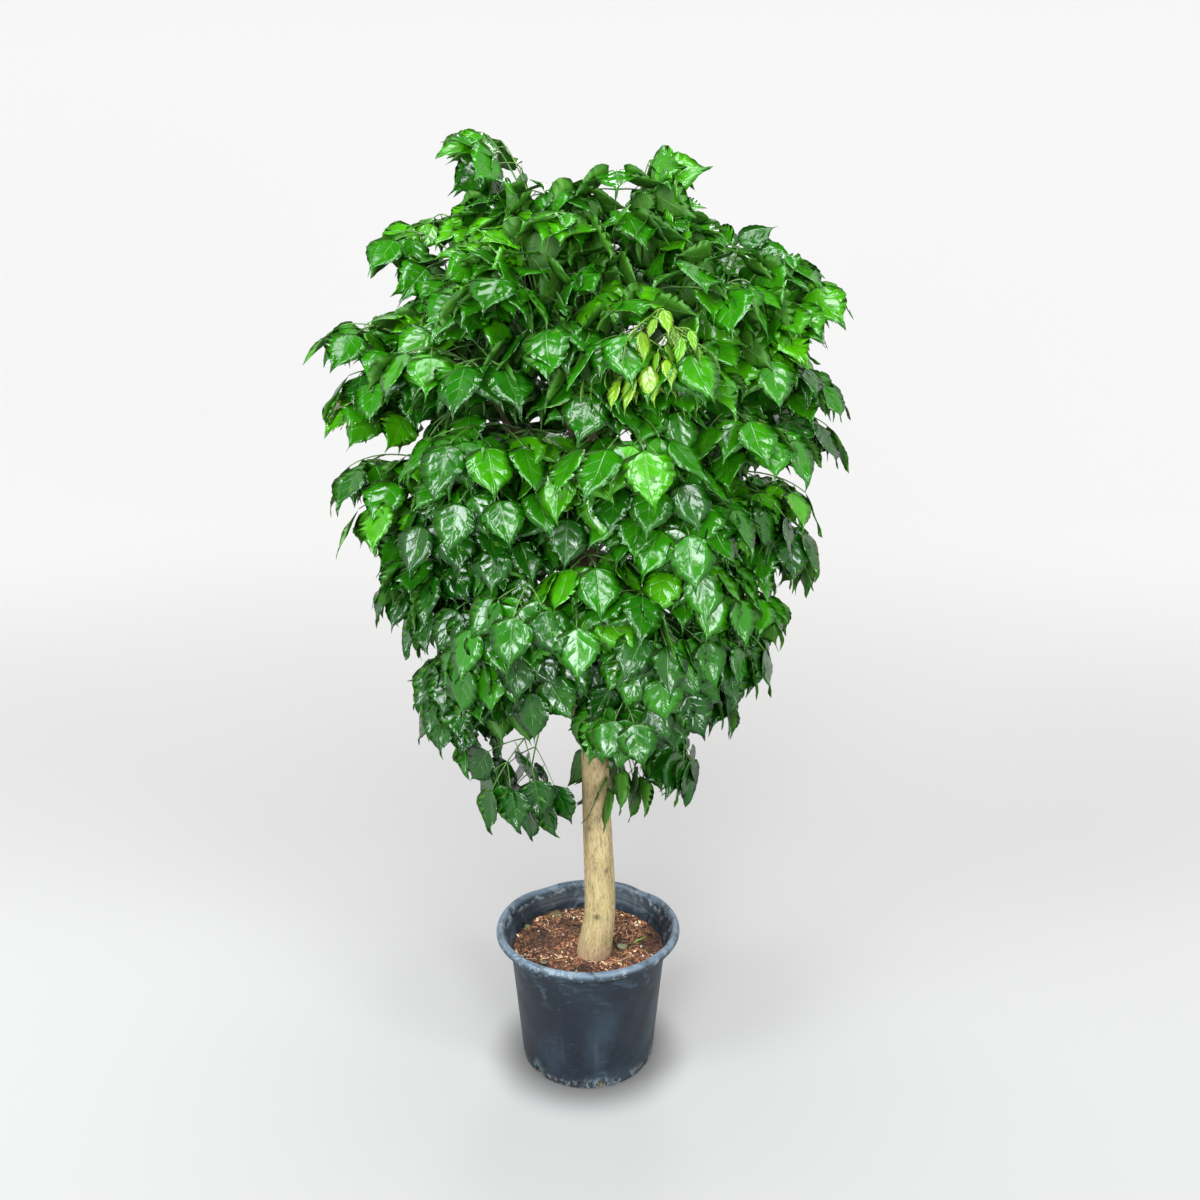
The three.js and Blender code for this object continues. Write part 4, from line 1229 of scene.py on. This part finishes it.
def frond_leaves(mesh, frond, youth, rng):
    """Grows the stalks of a frond, and gives the places of all its leaflets."""
    rachis = [bezier(*frond["curve"], t) for t in np.linspace(0, 1, RACHIS_STEPS)]
    mesh.stalk(rachis, np.linspace(*RACHIS_RADII, RACHIS_STEPS), 5, youth)
    place, heading, upper, _ = frond_frame(frond, 1)
    droop = frond["droop"]
    sag = frond.get("sag", LEAFLET_SAG)
    leaves = [{
        "base": place, "axis": hanging(heading, droop * 0.6, sag), "upper": upper,
        "size": frond["size"] * 1.05,
    }]
    for at, share, angle in PINNAE:
        place, heading, upper, right = frond_frame(frond, at)
        for side in (-1, 1):
            turn = math.radians(angle)
            aim = heading * math.cos(turn) + right * (side * math.sin(turn))
            arm = hanging(aim, droop * 0.35, sag)
            reach = share * frond["length"]
            tip = place + arm * reach
            arm_line = arched(place, tip, reach * 0.05, 5)
            axis = hanging(aim, droop, sag)
            leaves.append({"base": tip, "axis": axis, "upper": upper, "size": frond["size"]})
            mesh.stalk(arm_line, np.linspace(1.25, 0.75, 5), 4, youth)
            arm_right = np.cross(arm, square_to(upper, arm))
            for k, arm_side, size in frond["side_leaves"]:
                swing = math.radians(rng.uniform(52, 76))
                way = arm * math.cos(swing) + arm_right * (arm_side * math.sin(swing))
                under = rng.uniform(0.16, 0.42)
                way = unit(hanging(way, droop * rng.uniform(0.3, 0.9), 0.2) - upper * under)
                tilt = upper + arm_right * arm_side * rng.uniform(0.0, 0.3) + TO_THE_LIGHT
                tilt = unit(tilt + jitter(rng, 0.36))
                way = unit(way + jitter(rng, 0.2))
                base = arm_line[k] + way * rng.uniform(6, 11)
                mesh.stalk([arm_line[k], base], (0.8, 0.65), 3, youth)
                leaves.append({
                    "base": base, "axis": way, "upper": tilt, "arch": rng.uniform(0.9, 2.3),
                    "size": frond["size"] * size * rng.uniform(0.68, 1.16),
                })
    place, heading, upper, right = frond_frame(frond, LAST_PAIR_AT)
    for side in (-1, 1):
        swing = math.radians(rng.uniform(48, 64))
        way = hanging(heading * math.cos(swing) + right * (side * math.sin(swing)), droop * 0.6, 0.2)
        way = unit(way - upper * rng.uniform(0.14, 0.24))
        base = place + way * rng.uniform(10, 15)
        mesh.stalk([place, base], (0.9, 0.7), 3, youth)
        leaves.append({
            "base": base, "axis": way, "upper": upper + TO_THE_LIGHT,
            "size": frond["size"] * rng.uniform(0.8, 0.95), "arch": rng.uniform(0.9, 2.0),
        })
    return leaves


def frond_looks(frond, rng):
    """How old a frond is and how bright, by where it hangs; its brightness by height is painted light."""
    x, y, z = frond["tip"]
    looks = {"tone": rng.uniform(0.0, 0.7), "youth": 0.0, "decay": 0.0}
    # painted light: the higher a frond hangs, the brighter its tone, and the lower, the darker
    looks["tone"] += 0.28 * clamp((z - 980) / 400, -1)
    if "young" in frond:
        looks["youth"] = rng.uniform(0.5, 1.0)
    if math.dist((x, y, z), YELLOWING) < YELLOWING_REACH:
        looks["decay"] = 0.55
    return looks


SIDE_VEINS = 5.2  # pairs


def vein_marks(tree):
    """How near a point of a blade is to its midrib and to its side veins."""
    place = marked(tree, "blade_place", "Vector")
    aside = math_of(tree, "ABSOLUTE", math_of(tree, "SUBTRACT", part_of(tree, place, "Y"), 0.5))
    midrib = between(tree, aside, 0.022, 0.006)
    rows = math_of(tree, "SUBTRACT", part_of(tree, place, "X"), times(tree, aside, 0.30))
    rows = times(tree, rows, SIDE_VEINS)
    off = math_of(tree, "ABSOLUTE", math_of(tree, "SUBTRACT", math_of(tree, "FRACT", rows), 0.5))
    side_vein = times(tree, between(tree, off, 0.455, 0.492), between(tree, aside, 0.47, 0.35))
    return aside, off, midrib, side_vein


def leaf_kind(tree, axis):
    """How bright (X), how young (Y) or how browned (Z) a leaflet is."""
    return part_of(tree, marked(tree, "leaf_kind", "Vector"), axis)


def lit_through(tree, shader, share):
    """Mixes light that comes through the blade into its shader."""
    glow = node(tree, "ShaderNodeBsdfTranslucent", {"Color": LIGHT_THROUGH_LEAF})
    sides = {"Fac": share, 1: shader.outputs["BSDF"], 2: glow.outputs["BSDF"]}
    mixed = node(tree, "ShaderNodeMixShader", sides)
    tree.links.new(mixed.outputs["Shader"], tree.nodes["Material Output"].inputs["Surface"])


QUILTING = 0.0010  # m, how far the blade swells between its side veins
OLD_LEAF = (0.0045, 0.050, 0.0018)
FULL_LEAF = (0.0150, 0.132, 0.0012)
BRIGHT_LEAF = (0.052, 0.265, 0.0015)
YOUNG_LEAF = (0.185, 0.345, 0.014)
LEAF_VEIN = (0.070, 0.200, 0.022)
YELLOWED_EDGE = (0.22, 0.21, 0.014)
BROWNED_EDGE = (0.150, 0.048, 0.012)
LIGHT_THROUGH_LEAF = (0.12, 0.42, 0.008)
UNDER_DARK, UNDER_PALE = (0.020, 0.095, 0.005), (0.045, 0.160, 0.009)
UNDER_YOUNG, UNDER_VEIN = (0.15, 0.31, 0.028), (0.110, 0.240, 0.050)
STALK_DARK, STALK_PALE = (0.030, 0.092, 0.010), (0.065, 0.155, 0.022)
STALK_YOUNG, STALK_WOODY = (0.17, 0.31, 0.032), (0.095, 0.062, 0.026)


def leaf_top_material():
    material, tree, shader, place = surface("leaf_upper_side", (0.03, 0.22, 0.012))
    aside, off, midrib, side_vein = vein_marks(tree)
    mottle = times(tree, math_of(tree, "SUBTRACT", noise_of(tree, place, 45.0, 3.0), 0.5), 0.35)
    tone = math_of(tree, "ADD", leaf_kind(tree, "X"), mottle)
    colour = blended(tree, between(tree, tone, 0.0, 0.55), OLD_LEAF, FULL_LEAF)
    colour = blended(tree, between(tree, tone, 0.5, 1.0), colour, BRIGHT_LEAF)
    colour = blended(tree, times(tree, leaf_kind(tree, "Y"), 0.9), colour, YOUNG_LEAF)
    vein = math_of(tree, "MAXIMUM", midrib, times(tree, side_vein, 0.45))
    colour = blended(tree, times(tree, vein, 0.42), colour, LEAF_VEIN)
    # browning starts at the edge, yellow first
    rim = math_of(tree, "ADD", aside, times(tree, noise_of(tree, place, 60.0, 4.0), 0.28))
    limit = math_of(tree, "SUBTRACT", 0.80, times(tree, leaf_kind(tree, "Z"), 0.42))
    past = math_of(tree, "SUBTRACT", rim, limit)
    colour = blended(tree, between(tree, past, -0.10, 0.02), colour, YELLOWED_EDGE)
    colour = blended(tree, between(tree, past, 0.03, 0.12), colour, BROWNED_EDGE)
    # the blade swells between its side veins, and a fine net of veins lies over all of it
    dome = math_of(tree, "SUBTRACT", 1.0, times(tree, times(tree, off, off), 4.0))
    dome = times(tree, dome, between(tree, aside, 0.0, 0.16))
    dome = times(tree, dome, between(tree, noise_of(tree, place, 17.0, 2.0), 0.30, 0.66))
    dome = math_of(tree, "ADD", dome, times(tree, noise_of(tree, place, 60.0, 2.0), 1.1))
    net = node(tree, "ShaderNodeTexVoronoi", {"Vector": place, "Scale": 520.0}, feature="DISTANCE_TO_EDGE")
    net_line = between(tree, net.outputs["Distance"], 0.0, 0.16)
    normal = bumped(tree, dome, 1.0, QUILTING)
    normal = bumped(tree, math_of(tree, "SUBTRACT", 1.0, vein), 0.6, 0.0009, normal)
    normal = bumped(tree, net_line, 0.10, 0.0004, normal)
    feed(tree, shader, {"Base Color": colour, "Roughness": 0.125, "IOR": 1.55, "Normal": normal})
    lit_through(tree, shader, 0.18)
    return material


def leaf_under_material():
    material, tree, shader, place = surface("leaf_under_side", (0.08, 0.26, 0.05))
    _, _, midrib, side_vein = vein_marks(tree)
    mottle = noise_of(tree, place, 40.0, 3.0)
    colour = blended(tree, between(tree, mottle, 0.3, 0.7), UNDER_DARK, UNDER_PALE)
    colour = blended(tree, times(tree, leaf_kind(tree, "Y"), 0.8), colour, UNDER_YOUNG)
    vein = math_of(tree, "MAXIMUM", midrib, times(tree, side_vein, 0.7))
    colour = blended(tree, times(tree, vein, 0.8), colour, UNDER_VEIN)
    feed(tree, shader, {
        "Base Color": colour, "Roughness": 0.48, "Specular IOR Level": 0.28,
        "Normal": bumped(tree, vein, 0.7, 0.0012),
    })
    lit_through(tree, shader, 0.22)
    return material


def stalk_material():
    material, tree, shader, place = surface("leaf_stalk", (0.10, 0.26, 0.04))
    mottle = noise_of(tree, place, 60.0, 3.0)
    colour = blended(tree, between(tree, mottle, 0.3, 0.7), STALK_DARK, STALK_PALE)
    colour = blended(tree, leaf_kind(tree, "Y"), colour, STALK_YOUNG)
    woody = part_of(tree, marked(tree, "blade_place", "Vector"), "X")
    colour = blended(tree, between(tree, woody, 0.25, 0.85), colour, STALK_WOODY)
    ribs = bumped(tree, noise_of(tree, place, 500.0, 3.0), 0.25, 0.0004)
    feed(tree, shader, {"Base Color": colour, "Roughness": 0.5, "Normal": ribs})
    return material


leaf_finishes = [leaf_top_material(), leaf_under_material(), stalk_material()]
stems = grow_stems()
add_short_fronds(stems)
add_young_fronds(stems)
for number, stem in enumerate(stems, 1):
    rng = random.Random(number)
    stem_mesh = StemMesh()
    steps = np.linspace(0, 1, STEM_STEPS)
    route = [bezier(*stem["curve"], t) for t in steps]
    stem_radii = np.linspace(*STEM_RADII, STEM_STEPS) + STEM_FLARE * np.exp(-steps * 30)
    stem_mesh.stalk(route, stem_radii, 8, 0, (1, 0))
    for frond in stem["fronds"]:
        looks = frond_looks(frond, rng)
        for leaf in frond_leaves(stem_mesh, frond, looks["youth"], rng):
            stem_mesh.blade(leaf_looks(leaf, looks, rng), rng)
    leafy_stem = stem_mesh.piece(f"stem_and_leaves_{number:02d}", leaf_finishes)
    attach(leafy_stem, "root")
    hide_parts(f"leafy_stem_{number:02d}")

# ------------------------------------------------------------------ the litter
# Four small leaflets, two of them brown, and a bare pale leaf stalk have dropped off the plant. They lie
# loose on the potting mix.
LITTER = [  # (x and y in mm, heading in degrees, size, share of green)
    (54, -14, 35, 0.36, 0.85), (-50, 106, 200, 0.62, 0.1), (-112, 66, 250, 0.24, 0.9),
    (-74, -70, 120, 0.30, 0.2),
]
LITTER_STALK = [(84, 4), (91, 11), (99, 15), (108, 24)]
LEAF_LIFT, STALK_LIFT = 4.5, 2.6
DRY_BROWN, DRY_GREEN = (0.110, 0.070, 0.030), (0.150, 0.175, 0.075)
DRY_SPOT, DRY_VEIN = (0.070, 0.060, 0.028), (0.26, 0.25, 0.14)


def on_the_mix(x, y, lift):
    """A place in mm, lifted a little off the mix."""
    return np.array([x, y, mix_height(x / 1000, y / 1000) * 1000 + lift])


def dry_leaf_material():
    material, tree, shader, place = surface("dry_leaf", (0.3, 0.3, 0.16))
    _, _, midrib, side_vein = vein_marks(tree)
    colour = blended(tree, leaf_kind(tree, "X"), DRY_BROWN, DRY_GREEN)
    mottle = between(tree, noise_of(tree, place, 160.0, 4.0), 0.35, 0.65)
    colour = blended(tree, times(tree, mottle, 0.5), colour, DRY_SPOT)
    colour = blended(tree, times(tree, midrib, 0.7), colour, DRY_VEIN)
    relief = bumped(tree, side_vein, 0.5, 0.0006)
    feed(tree, shader, {"Base Color": colour, "Roughness": 0.6, "Normal": relief})
    return material


rng = random.Random(9)
litter = StemMesh()
for x, y, bearing, size, tone in LITTER:
    turn = math.radians(bearing)
    litter.blade({
        "base": on_the_mix(x, y, LEAF_LIFT),
        "axis": unit(np.array([math.cos(turn), math.sin(turn), 0.05])),
        "upper": np.array([0.1, -0.1, 1.0]),
        "size": size, "narrow": 0.8, "tone": tone, "youth": 0.0, "decay": 0.0,
    }, rng)
stalk_line = [on_the_mix(x, y, STALK_LIFT) for x, y in LITTER_STALK]
litter.stalk(stalk_line, (1.1, 1.3, 1.2, 0.8), 5, 1.0)
fallen = litter.piece("litter_on_mix", [dry_leaf_material()] * 2 + [leaf_finishes[2]])
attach(fallen, "root")
